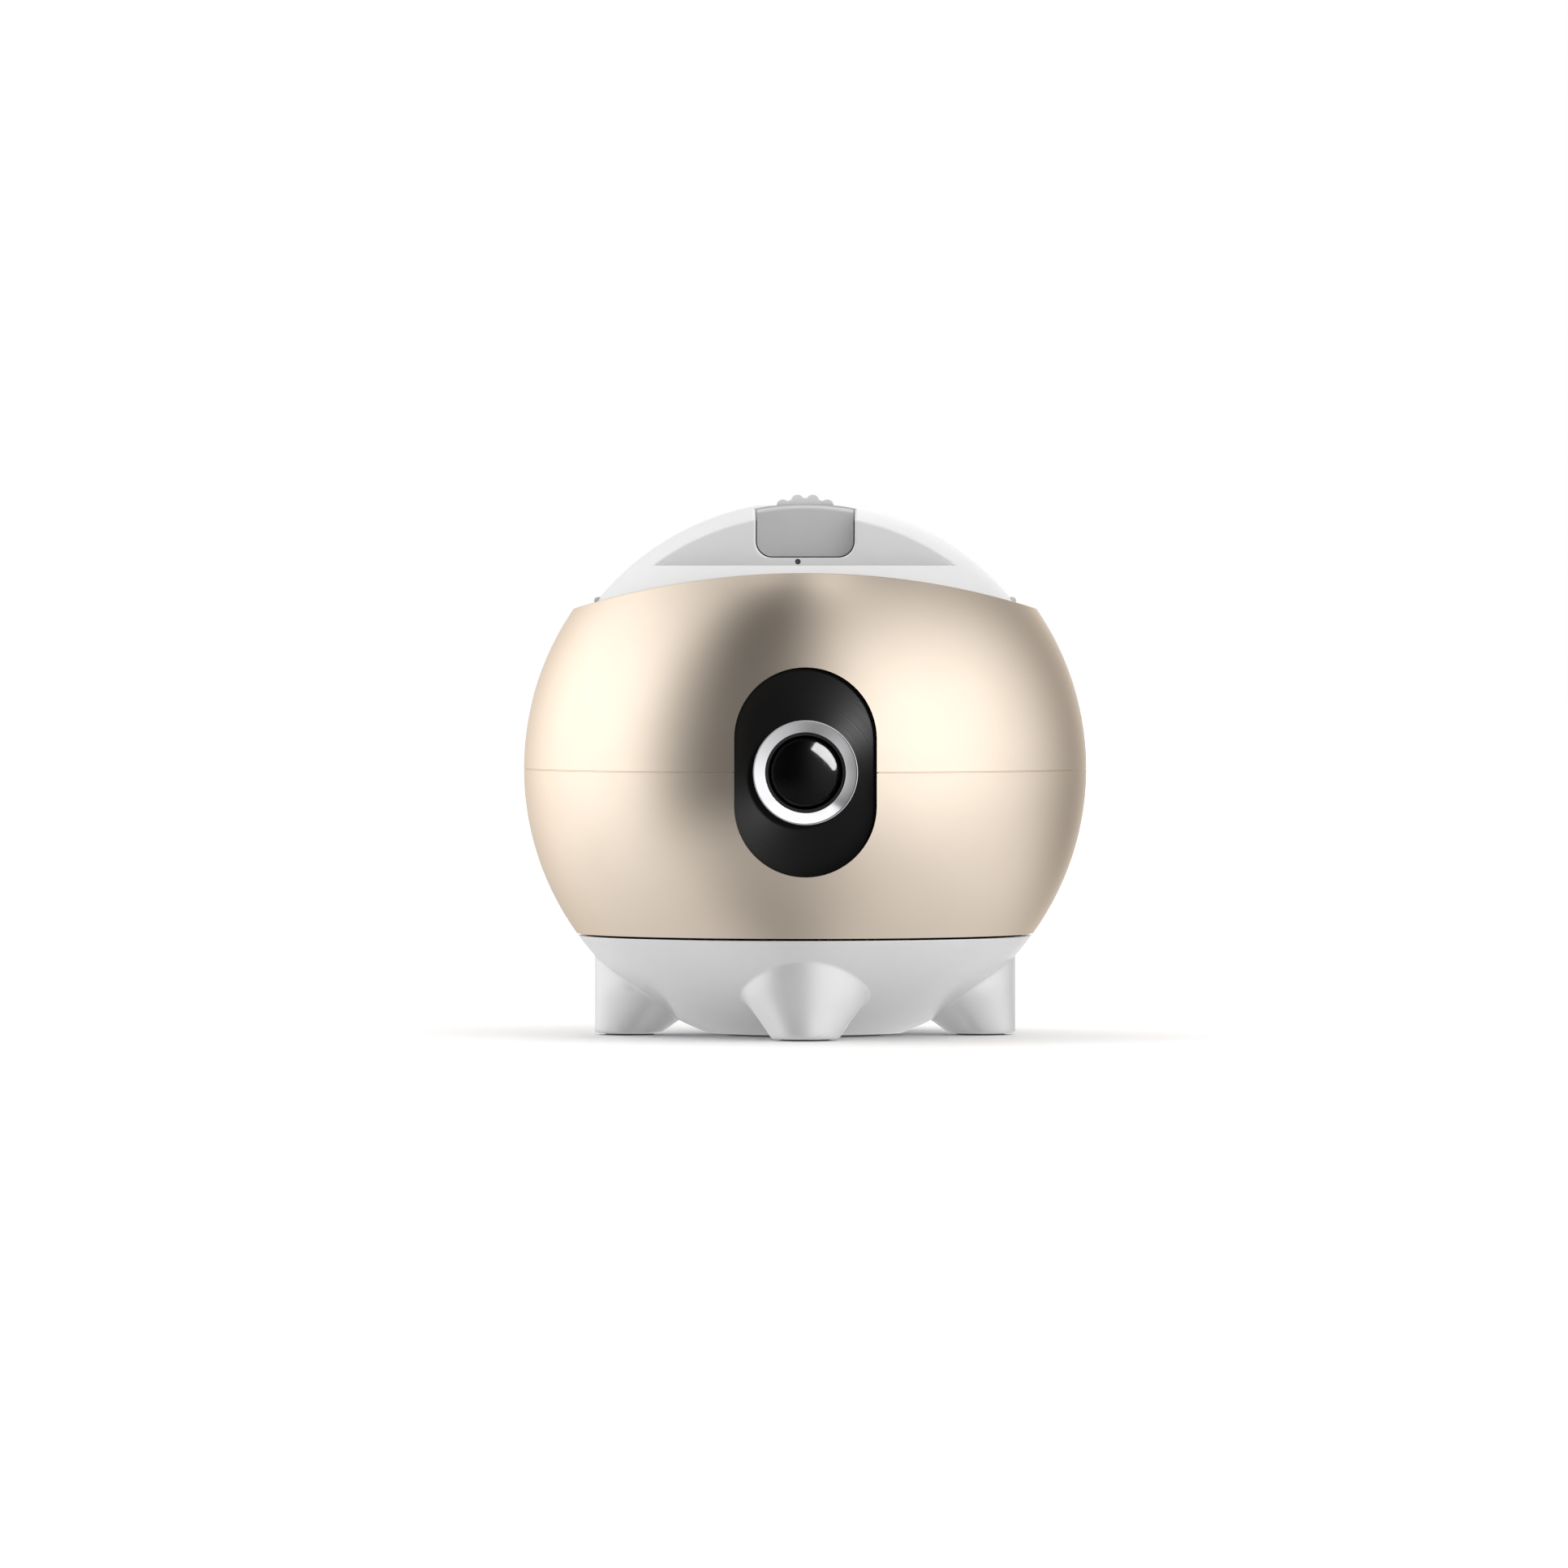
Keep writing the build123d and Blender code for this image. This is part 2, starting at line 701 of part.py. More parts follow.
# ---- Head: tilt arms and top frame ----
arm_top_z = ball_z + top_frame_up
arm_foot_w = 5.5
motor_plate_half_h = 12.0
motor_plate_back_y = 32.0
tilt_motor_y = gear_centres
top_frame_y = 2.0
top_frame_d = 24.0

for arm_name, side in (("tilt_arm_right", 1), ("tilt_arm_left", -1)):
    arm_plane = Plane.YZ.offset(side * arm_inner_x)
    with BuildPart() as arm:
        with BuildSketch(arm_plane):
            with Locations((0, (table_top_z + arm_top_z) / 2)):
                Rectangle(2 * arm_half_d, arm_top_z - table_top_z)
            if side > 0:
                with Locations((motor_plate_back_y / 2, ball_z)):
                    Rectangle(motor_plate_back_y, 2 * motor_plate_half_h)
                with Locations((tilt_motor_y, ball_z)):
                    Circle(shaft_hole_r, mode=Mode.SUBTRACT)
            with Locations((0, ball_z)):
                Circle(trunnion_r + running_gap, mode=Mode.SUBTRACT)
        extrude(amount=side * arm_t)
        with BuildSketch(Plane.XY.offset(table_top_z)):
            with Locations((side * (arm_outer_x + arm_foot_w / 2), 0)):
                Rectangle(arm_foot_w, 2 * arm_half_d)
        extrude(amount=table_t)
    finish(arm.part, arm_name)

with BuildPart() as top_frame:
    with BuildSketch(Plane.XY.offset(arm_top_z)):
        with Locations((0, top_frame_y)):
            Rectangle(2 * arm_outer_x, top_frame_d)
    extrude(amount=top_frame_t)
finish(top_frame.part, "top_frame")

# ---- Head: motors and pinions ----
pan_motor_h = 14.0
tilt_motor_l = 9.0
shaft_depth = 3.0
shaft_end_gap = 0.2
tilt_pinion_deg = 180 / pinion_teeth
pinion_low = 0.4
pan_pinion_plane = Plane(origin=(pan_motor_x, pan_motor_y, gear_z + pinion_low), z_dir=(0, 0, 1))
pan_pinion_t = table_z - gear_z - 2 * pinion_low
tilt_pinion_plane = Plane(origin=(carriage_half_w, tilt_motor_y, ball_z), x_dir=(0, 1, 0), z_dir=(1, 0, 0))

with BuildPart() as pan_motor:
    with BuildSketch(Plane.XY.offset(table_top_z)):
        with Locations((pan_motor_x, pan_motor_y)):
            Circle(motor_r)
    extrude(amount=pan_motor_h)
    with BuildSketch(Plane.XY.offset(table_top_z)):
        with Locations((pan_motor_x, pan_motor_y)):
            Circle(motor_shaft_r + running_gap)
    extrude(amount=shaft_depth + shaft_end_gap, mode=Mode.SUBTRACT)
finish(pan_motor.part, "pan_motor")

pan_pinion = spur_gear(pinion_teeth, pan_motor_deg + 180, motor_shaft_r, pan_pinion_t, pan_pinion_plane)
finish(pan_pinion, "pan_pinion")

with BuildPart() as pan_motor_shaft:
    with BuildSketch(pan_pinion_plane):
        Circle(motor_shaft_r)
    extrude(amount=table_top_z + shaft_depth - gear_z - pinion_low)
finish(pan_motor_shaft.part, "pan_motor_shaft")

with BuildPart() as tilt_motor:
    with BuildSketch(Plane.YZ.offset(arm_outer_x)):
        with Locations((tilt_motor_y, ball_z)):
            Circle(motor_r)
    extrude(amount=tilt_motor_l)
    with BuildSketch(Plane.YZ.offset(arm_outer_x)):
        with Locations((tilt_motor_y, ball_z)):
            Circle(motor_shaft_r + running_gap)
    extrude(amount=shaft_depth + shaft_end_gap, mode=Mode.SUBTRACT)
finish(tilt_motor.part, "tilt_motor")

tilt_pinion = spur_gear(pinion_teeth, tilt_pinion_deg, motor_shaft_r, sector_t, tilt_pinion_plane)
finish(tilt_pinion, "tilt_pinion")

with BuildPart() as tilt_motor_shaft:
    with BuildSketch(tilt_pinion_plane):
        Circle(motor_shaft_r)
    extrude(amount=arm_outer_x + shaft_depth - carriage_half_w)
finish(tilt_motor_shaft.part, "tilt_motor_shaft")

# ---- Head: main board, processor and radio ----
main_board_y = 27.0
main_board_w = 38.0
main_board_h = 44.0
chip_w = 12.0
chip_up = 4.0
chip_t = 1.2
heat_sink_w = 14.0
heat_sink_floor_t = 1.2
fin_count = 6
fin_t = 0.9
fin_h = 3.5
antenna_x = -13.0
antenna_up = 8.0
antenna_w = 9.0
antenna_h = 14.0
antenna_t = 0.8
speaker_r = 8.0
speaker_t = 4.0
speaker_front_r = 42.4

with BuildPart() as main_board:
    with BuildSketch(Plane.XZ.offset(-main_board_y)):
        with Locations((0, table_top_z + main_board_h / 2)):
            Rectangle(main_board_w, main_board_h)
    extrude(amount=-board_t)
finish(main_board.part, "main_board")

chip_y = main_board_y + board_t
with BuildPart() as processor:
    with BuildSketch(Plane.XZ.offset(-chip_y)):
        with Locations((0, ball_z + chip_up)):
            Rectangle(chip_w, chip_w)
    extrude(amount=-chip_t)
finish(processor.part, "processor")

heat_sink_y = chip_y + chip_t
with BuildPart() as heat_sink:
    with BuildSketch(Plane.XZ.offset(-heat_sink_y)):
        with Locations((0, ball_z + chip_up)):
            Rectangle(heat_sink_w, heat_sink_w)
    extrude(amount=-heat_sink_floor_t)
    with BuildSketch(Plane.XZ.offset(-(heat_sink_y + heat_sink_floor_t))):
        with Locations((0, ball_z + chip_up)):
            with GridLocations(heat_sink_w / fin_count, 0, fin_count, 1):
                Rectangle(fin_t, heat_sink_w)
    extrude(amount=-fin_h)
finish(heat_sink.part, "heat_sink")

with BuildPart() as radio_antenna:
    with BuildSketch(Plane.XZ.offset(-chip_y)):
        with Locations((antenna_x, ball_z + antenna_up)):
            Rectangle(antenna_w, antenna_h)
    extrude(amount=-antenna_t)
finish(radio_antenna.part, "radio_antenna")

with BuildPart() as speaker:
    with BuildSketch(grille_plane.offset(speaker_front_r)):
        Circle(speaker_r)
    extrude(amount=speaker_t)
finish(speaker.part, "speaker")

# ---- Head: rear panel, card socket and reset button ----
card_x = -4.0
card_up = -13.0
reset_x = 8.0
reset_up = -12.4
reset_r = 1.2
reset_outer_y = 47.0
reset_inner_y = 42.6
reset_flange_r = 1.9
rear_board_up = -15.2
rear_board_t = 1.2
rear_board_w = 26.0
rear_board_end_y = 41.5
card_slot_w = 11.6
card_slot_h = 1.2
reset_flange_t = 0.8
socket_y = 35.0
socket_w = 14.0
socket_d = 12.0
socket_h = 1.9
socket_mouth_w = 11.2
socket_mouth_h = 0.9
socket_mouth_depth = 10.0
reset_switch_y = 39.2
reset_switch_w = 4.5
reset_switch_d = 3.6
reset_switch_h = 3.4

with BuildPart() as rear_panel:
    add(ball(rear_panel_r))
    add(ball(rear_panel_inner_r), mode=Mode.SUBTRACT)
    with BuildSketch(Plane.XZ):
        with Locations((0, ball_z + rear_panel_up)):
            RectangleRounded(
                rear_panel_w - 2 * rear_panel_gap,
                rear_panel_h - 2 * rear_panel_gap,
                rear_panel_corner_r - rear_panel_gap,
            )
        with Locations((card_x, ball_z + card_up)):
            Rectangle(card_slot_w, card_slot_h, mode=Mode.SUBTRACT)
        with Locations((reset_x, ball_z + reset_up)):
            Circle(reset_r + running_gap, mode=Mode.SUBTRACT)
    extrude(amount=-(ball_r + clearance), mode=Mode.INTERSECT)
finish(rear_panel.part, "rear_panel")

with BuildPart() as reset_button:
    with BuildSketch(Plane.XZ.offset(-reset_inner_y)):
        with Locations((reset_x, ball_z + reset_up)):
            Circle(reset_r)
    extrude(amount=-(reset_outer_y - reset_inner_y))
    with BuildSketch(Plane.XZ.offset(-reset_inner_y)):
        with Locations((reset_x, ball_z + reset_up)):
            Circle(reset_flange_r)
    extrude(amount=-reset_flange_t)
finish(reset_button.part, "reset_button")

rear_board_z = ball_z + rear_board_up
with BuildPart() as rear_board:
    with BuildSketch(Plane.XY.offset(rear_board_z)):
        with Locations((0, (chip_y + rear_board_end_y) / 2)):
            Rectangle(rear_board_w, rear_board_end_y - chip_y)
    extrude(amount=rear_board_t)
finish(rear_board.part, "rear_board")

socket_z = rear_board_z + rear_board_t
with BuildPart() as card_socket:
    with BuildSketch(Plane.XY.offset(socket_z)):
        with Locations((card_x, socket_y)):
            Rectangle(socket_w, socket_d)
    extrude(amount=socket_h)
    with BuildSketch(Plane.XZ.offset(-(socket_y + socket_d / 2))):
        with Locations((card_x, ball_z + card_up)):
            Rectangle(socket_mouth_w, socket_mouth_h)
    extrude(amount=socket_mouth_depth, mode=Mode.SUBTRACT)
finish(card_socket.part, "card_socket")

with BuildPart() as reset_switch:
    with BuildSketch(Plane.XY.offset(socket_z)):
        with Locations((reset_x, reset_switch_y)):
            Rectangle(reset_switch_w, reset_switch_d)
    extrude(amount=reset_switch_h)
finish(reset_switch.part, "reset_switch")

# ---- Tilting carriage ----
cheek_front_half_h = 14.0
cheek_boss_r = 7.0
cheek_inset = 0.6
ring_seat_depth = 10.0
pin_proud = 0.8

with BuildPart() as carriage_plate:
    add(ball(carriage_r))
    add(ball(carriage_inner_r), mode=Mode.SUBTRACT)
    with BuildSketch(Plane.XZ):
        with Locations((0, ball_z)):
            Rectangle(2 * carriage_half_w, 2 * carriage_half_h)
            Circle(ring_inner_r, mode=Mode.SUBTRACT)
    extrude(amount=ball_r, mode=Mode.INTERSECT)
    with BuildSketch(Plane.XZ.offset(-ring_seat_y)):
        with Locations((0, ball_z)):
            Circle(ring_r)
    extrude(amount=ring_seat_depth, mode=Mode.SUBTRACT)

with BuildPart() as carriage_cheeks:
    for inner_x in (carriage_half_w - cheek_t, -carriage_half_w):
        with BuildSketch(Plane(origin=(inner_x, 0, ball_z), x_dir=(0, 1, 0), z_dir=(1, 0, 0))):
            with BuildLine():
                Polyline(
                    (0, -cheek_boss_r),
                    (0, cheek_boss_r),
                    (-ball_r, cheek_front_half_h),
                    (-ball_r, -cheek_front_half_h),
                    close=True,
                )
            make_face()
            Circle(cheek_boss_r)
            Circle(trunnion_r, mode=Mode.SUBTRACT)
        extrude(amount=cheek_t)
    add(ball(carriage_r - cheek_inset), mode=Mode.INTERSECT)

with BuildPart() as lens_carriage:
    add(carriage_plate.part)
    add(carriage_cheeks.part)
finish(lens_carriage.part, "lens_carriage")

with BuildPart() as trunnion_pins:
    for inner_x in (carriage_half_w - cheek_t, -arm_outer_x - pin_proud):
        with BuildSketch(Plane.YZ.offset(inner_x)):
            with Locations((0, ball_z)):
                Circle(trunnion_r)
        extrude(amount=arm_outer_x + pin_proud - carriage_half_w + cheek_t)
finish(trunnion_pins.part, "trunnion_pins")

sector_plane = Plane(origin=(carriage_half_w, 0, ball_z), x_dir=(0, 1, 0), z_dir=(1, 0, 0))
sector_reach = 2 * gear_pitch_r
sector_side = sector_reach * math.tan(math.radians(sector_half_deg))
sector_hub_r = 6.5
with BuildPart() as tilt_sector:
    add(spur_gear(gear_teeth, 0, trunnion_r, sector_t, sector_plane))
    with BuildSketch(sector_plane):
        Circle(sector_hub_r)
        with BuildLine():
            Polyline(
                (0, 0),
                (sector_reach, sector_side),
                (sector_reach, -sector_side),
                close=True,
            )
        make_face()
    extrude(amount=sector_t, mode=Mode.INTERSECT)
finish(tilt_sector.part, "tilt_sector")

# ---- Lens ----
lens_seat_y = barrel_front_y + 2.2
front_lens_edge_y = barrel_front_y + 0.4
front_lens_dome = 1.4
front_lens_l = 20.0
iris_bore_r = 3.6
iris_y = -44.4
iris_t = 0.6
inner_lens_y = -42.5
inner_lens_t = 3.0
filter_y = -29.0
filter_t = 0.8
holder_w = 18.0
holder_corner_r = 1.5
holder_grip = 6.0
sensor_w = 6.4
sensor_t = 1.0
sensor_board_h = 22.0

with BuildPart() as lens_ring:
    with BuildSketch(Plane.XY.offset(ball_z)):
        with BuildLine():
            Polyline(
                (ring_inner_r, ring_seat_y),
                (ring_r, ring_seat_y),
                (ring_r, ring_front_y + ring_bevel),
                (ring_r - ring_bevel, ring_front_y),
                (ring_inner_r + ring_inner_bevel, ring_front_y),
                (ring_inner_r, ring_front_y + ring_bevel),
                close=True,
            )
        make_face()
    revolve(axis=Axis((0, 0, ball_z), (0, 1, 0)))
finish(lens_ring.part, "lens_ring")

with BuildPart() as lens_barrel:
    with BuildSketch(Plane.XZ.offset(-barrel_back_y)):
        with Locations((0, ball_z)):
            Circle(barrel_r)
            Circle(barrel_bore_r, mode=Mode.SUBTRACT)
    extrude(amount=barrel_back_y - barrel_front_y)
    with BuildSketch(Plane.XZ.offset(-lens_seat_y)):
        with Locations((0, ball_z)):
            Circle(front_lens_r)
    extrude(amount=lens_seat_y - barrel_front_y, mode=Mode.SUBTRACT)
finish(lens_barrel.part, "lens_barrel")

with BuildPart() as front_lens:
    with BuildSketch(Plane.XY.offset(ball_z)):
        with BuildLine():
            outer_arc = ThreePointArc(
                (-front_lens_r, front_lens_edge_y),
                (0, front_lens_edge_y - front_lens_dome),
                (front_lens_r, front_lens_edge_y),
            )
            Line(outer_arc @ 1, (front_lens_r, lens_seat_y))
            Line((front_lens_r, lens_seat_y), (-front_lens_r, lens_seat_y))
            Line((-front_lens_r, lens_seat_y), outer_arc @ 0)
        make_face()
        with Locations((front_lens_r, (front_lens_edge_y + lens_seat_y) / 2)):
            Rectangle(2 * front_lens_r, front_lens_l, mode=Mode.INTERSECT)
    revolve(axis=Axis((0, 0, ball_z), (0, 1, 0)))
finish(front_lens.part, "front_lens")

with BuildPart() as iris_stop:
    with BuildSketch(Plane.XZ.offset(-iris_y)):
        with Locations((0, ball_z)):
            Circle(barrel_bore_r)
            Circle(iris_bore_r, mode=Mode.SUBTRACT)
    extrude(amount=-iris_t)
finish(iris_stop.part, "iris_stop")

for disc_name, disc_y, disc_t in (
    ("inner_lens", inner_lens_y, inner_lens_t),
    ("infrared_filter", filter_y, filter_t),
):
    with BuildPart() as disc:
        with BuildSketch(Plane.XZ.offset(-disc_y)):
            with Locations((0, ball_z)):
                Circle(barrel_bore_r)
        extrude(amount=-disc_t)
    finish(disc.part, disc_name)

with BuildPart() as lens_holder:
    with BuildSketch(Plane.XZ.offset(-sensor_board_y)):
        with Locations((0, ball_z)):
            RectangleRounded(holder_w, holder_w, holder_corner_r)
            Circle(barrel_bore_r, mode=Mode.SUBTRACT)
    extrude(amount=sensor_board_y - barrel_back_y + holder_grip)
    with BuildSketch(Plane.XZ.offset(-barrel_back_y)):
        with Locations((0, ball_z)):
            Circle(barrel_r)
    extrude(amount=holder_grip, mode=Mode.SUBTRACT)
finish(lens_holder.part, "lens_holder")

with BuildPart() as image_sensor:
    with BuildSketch(Plane.XZ.offset(-sensor_board_y)):
        with Locations((0, ball_z)):
            Rectangle(sensor_w, sensor_w)
    extrude(amount=sensor_t)
finish(image_sensor.part, "image_sensor")

with BuildPart() as sensor_board:
    with BuildSketch(Plane.XZ.offset(-sensor_board_y)):
        with Locations((0, ball_z)):
            Rectangle(2 * (carriage_half_w - cheek_t), sensor_board_h)
    extrude(amount=-board_t)
finish(sensor_board.part, "sensor_board")

# ---- Head screws ----
finish(screws(lug_places, table_t + lug_t, Plane.XY.offset(table_z).rotated((0, 180, 0))), "head_screws")
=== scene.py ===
"""A ball-shaped home security camera: champagne shells, a white cap and a four-legged white base.

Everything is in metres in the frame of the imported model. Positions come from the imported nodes' boxes.
"""

import json
import logging
import math
from dataclasses import dataclass, field
from enum import Enum

import bpy
import numpy as np
from mathutils import Euler, Matrix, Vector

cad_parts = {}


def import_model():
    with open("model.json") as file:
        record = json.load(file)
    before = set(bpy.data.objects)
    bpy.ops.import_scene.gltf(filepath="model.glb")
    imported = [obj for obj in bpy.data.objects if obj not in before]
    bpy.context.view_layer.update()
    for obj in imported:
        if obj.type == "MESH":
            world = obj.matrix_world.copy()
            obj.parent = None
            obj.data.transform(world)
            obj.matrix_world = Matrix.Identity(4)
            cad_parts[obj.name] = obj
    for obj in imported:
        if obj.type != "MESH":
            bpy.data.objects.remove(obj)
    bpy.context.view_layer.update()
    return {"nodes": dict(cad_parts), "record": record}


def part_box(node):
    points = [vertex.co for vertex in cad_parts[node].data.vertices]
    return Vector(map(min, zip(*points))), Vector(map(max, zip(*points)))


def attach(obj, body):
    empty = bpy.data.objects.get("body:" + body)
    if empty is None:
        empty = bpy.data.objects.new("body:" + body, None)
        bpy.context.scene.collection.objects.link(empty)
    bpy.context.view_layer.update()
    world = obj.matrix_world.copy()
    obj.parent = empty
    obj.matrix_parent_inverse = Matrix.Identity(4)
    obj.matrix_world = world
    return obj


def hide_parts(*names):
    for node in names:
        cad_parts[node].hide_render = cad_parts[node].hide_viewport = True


LOG = logging.getLogger("ball_camera")
MM = 0.001


# ---------------------------------------------------------------- mesh building

def build_mesh(
    name: str, points: np.ndarray, faces: list[np.ndarray], smooth: bool = True
) -> bpy.types.Object:
    """Puts computed points and faces into a new object at the origin.

    Args:
        name: the object's name.
        points: N x 3 places in metres.
        faces: arrays of vertex numbers, one array for each count of corners.
        smooth: whether the faces are shaded smooth.

    Returns:
        The linked object.
    """
    mesh = bpy.data.meshes.new(name)
    corner_lists = [block.reshape(-1) for block in faces if len(block)]
    totals = np.concatenate([np.full(len(block), block.shape[1]) for block in faces if len(block)])
    corners = np.concatenate(corner_lists)
    starts = np.concatenate([[0], np.cumsum(totals)[:-1]])
    mesh.vertices.add(len(points))
    mesh.vertices.foreach_set("co", np.ascontiguousarray(points, dtype=np.float32).reshape(-1))
    mesh.loops.add(len(corners))
    mesh.loops.foreach_set("vertex_index", corners.astype(np.int32))
    mesh.polygons.add(len(totals))
    mesh.polygons.foreach_set("loop_start", starts.astype(np.int32))
    mesh.polygons.foreach_set("loop_total", totals.astype(np.int32))
    mesh.polygons.foreach_set("use_smooth", np.full(len(totals), smooth))
    mesh.update(calc_edges=True)
    mesh.validate()
    piece = bpy.data.objects.new(name, mesh)
    bpy.context.scene.collection.objects.link(piece)
    return piece


def grid_quads(rows: int, columns: int, wrap_rows: bool, wrap_columns: bool = True) -> np.ndarray:
    """Vertex numbers of the quads of a grid, row by row.

    Args:
        rows: how many rows of vertices.
        columns: how many vertices in a row.
        wrap_rows: whether the last row joins the first.
        wrap_columns: whether each row is a closed loop.

    Returns:
        An array of rows x columns x 4 vertex numbers.
    """
    row = np.arange(rows if wrap_rows else rows - 1)[:, None]
    column = np.arange(columns if wrap_columns else columns - 1)[None, :]
    next_row = (row + 1) % rows
    next_column = (column + 1) % columns
    corners = (
        row * columns + column,
        row * columns + next_column,
        next_row * columns + next_column,
        next_row * columns + column,
    )
    return np.stack(corners, axis=-1)


def turned(name: str, profile: np.ndarray, centre: np.ndarray, steps: int = 160) -> bpy.types.Object:
    """A closed profile turned about the lens axis, which runs along Y.

    A point (radius r, place y) goes to (r cos a, y, r sin a) about the centre for each angle a. Where the
    profile begins and ends on the axis, each end is one vertex with a fan of triangles.

    Args:
        name: the object's name.
        profile: N x 2 points of (radius, y), in metres, listed so that faces point outwards.
        centre: the axis's point; only its x and z count.
        steps: how many segments make the turn.

    Returns:
        The object.
    """
    angle = np.linspace(0, 2 * math.pi, steps, endpoint=False)
    on_axis = bool(np.isclose(profile[0, 0], 0.0))
    ring_profile = profile[1:-1] if on_axis else profile
    radius = ring_profile[:, 0][:, None]
    points = np.stack(
        [
            centre[0] + radius * np.cos(angle),
            np.repeat(ring_profile[:, 1][:, None], steps, axis=1),
            centre[2] + radius * np.sin(angle),
        ],
        axis=-1,
    ).reshape(-1, 3)
    blocks = [grid_quads(len(ring_profile), steps, wrap_rows=not on_axis).reshape(-1, 4)[:, ::-1]]
    if on_axis:
        poles = np.array([[centre[0], profile[0, 1], centre[2]], [centre[0], profile[-1, 1], centre[2]]])
        first, last = len(points), len(points) + 1
        points = np.concatenate([points, poles])
        column = np.arange(steps)
        beside = (column + 1) % steps
        base = (len(ring_profile) - 1) * steps
        blocks.append(np.stack([np.full(steps, first), column, beside], axis=-1))
        blocks.append(np.stack([np.full(steps, last), base + beside, base + column], axis=-1))
    return build_mesh(name, points, blocks)


def rounded_path(corners: list[tuple[float, float, float]], steps: int = 6) -> np.ndarray:
    """A closed outline with its corners rounded by quadratic curves.

    Args:
        corners: (a, b, reach) for each corner; the curve leaves the sides at reach from the corner.
        steps: points on each curve.

    Returns:
        M x 2 points.
    """
    spot = np.array([corner[:2] for corner in corners])
    reach = np.array([corner[2] for corner in corners])[:, None]
    to_last = np.roll(spot, 1, axis=0) - spot
    to_next = np.roll(spot, -1, axis=0) - spot
    start = spot + to_last / np.linalg.norm(to_last, axis=1, keepdims=True) * reach
    end = spot + to_next / np.linalg.norm(to_next, axis=1, keepdims=True) * reach
    t = np.linspace(0, 1, steps)[None, :, None]
    curve = (1 - t) ** 2 * start[:, None] + 2 * t * (1 - t) * spot[:, None] + t ** 2 * end[:, None]
    return curve.reshape(-1, 2)


def soft_min(first: np.ndarray, second: np.ndarray, width: float) -> np.ndarray:
    """The smaller of two fields, rounded over where they are within width of each other."""
    blend = np.clip(0.5 + 0.5 * (second - first) / width, 0, 1)
    return second * (1 - blend) + first * blend - width * blend * (1 - blend)


def soft_max(first: np.ndarray, second: np.ndarray, width: float) -> np.ndarray:
    """The larger of two fields, filleted where they are within width of each other."""
    return -soft_min(-first, -second, width)


# ---------------------------------------------------------------- finishes

def linear(code: str) -> tuple[float, float, float, float]:
    """An sRGB hex code as linear red, green, blue and a solid alpha."""
    parts = [int(code[i:i + 2], 16) / 255 for i in (1, 3, 5)]
    turned_linear = [p / 12.92 if p <= 0.04045 else ((p + 0.055) / 1.055) ** 2.4 for p in parts]
    return (*turned_linear, 1.0)


def add_node(tree: bpy.types.NodeTree, kind: str, values: dict | None = None, links: dict | None = None,
             **settings: object) -> bpy.types.Node:
    """Adds one shader node with its settings, socket values and links.

    Args:
        tree: the node tree.
        kind: the node's type name.
        values: socket name or number to its value.
        links: socket name or number to (node, output name or number).
        settings: the node's own properties.

    Returns:
        The node.
    """
    node = tree.nodes.new(kind)
    for key, value in settings.items():
        setattr(node, key, value)
    for key, value in (values or {}).items():
        node.inputs[key].default_value = value
    for key, (source, output) in (links or {}).items():
        tree.links.new(source.outputs[output], node.inputs[key])
    return node


class Grain(Enum):
    """How a surface was made, which sets the pattern of its small relief."""

    ORANGE_PEEL = "lacquer or gloss moulding that pulled into soft waves"
    SPARK = "matt texture from a spark-eroded mould"
    TURNED = "faint unevenness left by a lathe, a die or plating"
    FLAKE = "aluminium flakes under clear lacquer"
    SMOOTH = "polished"


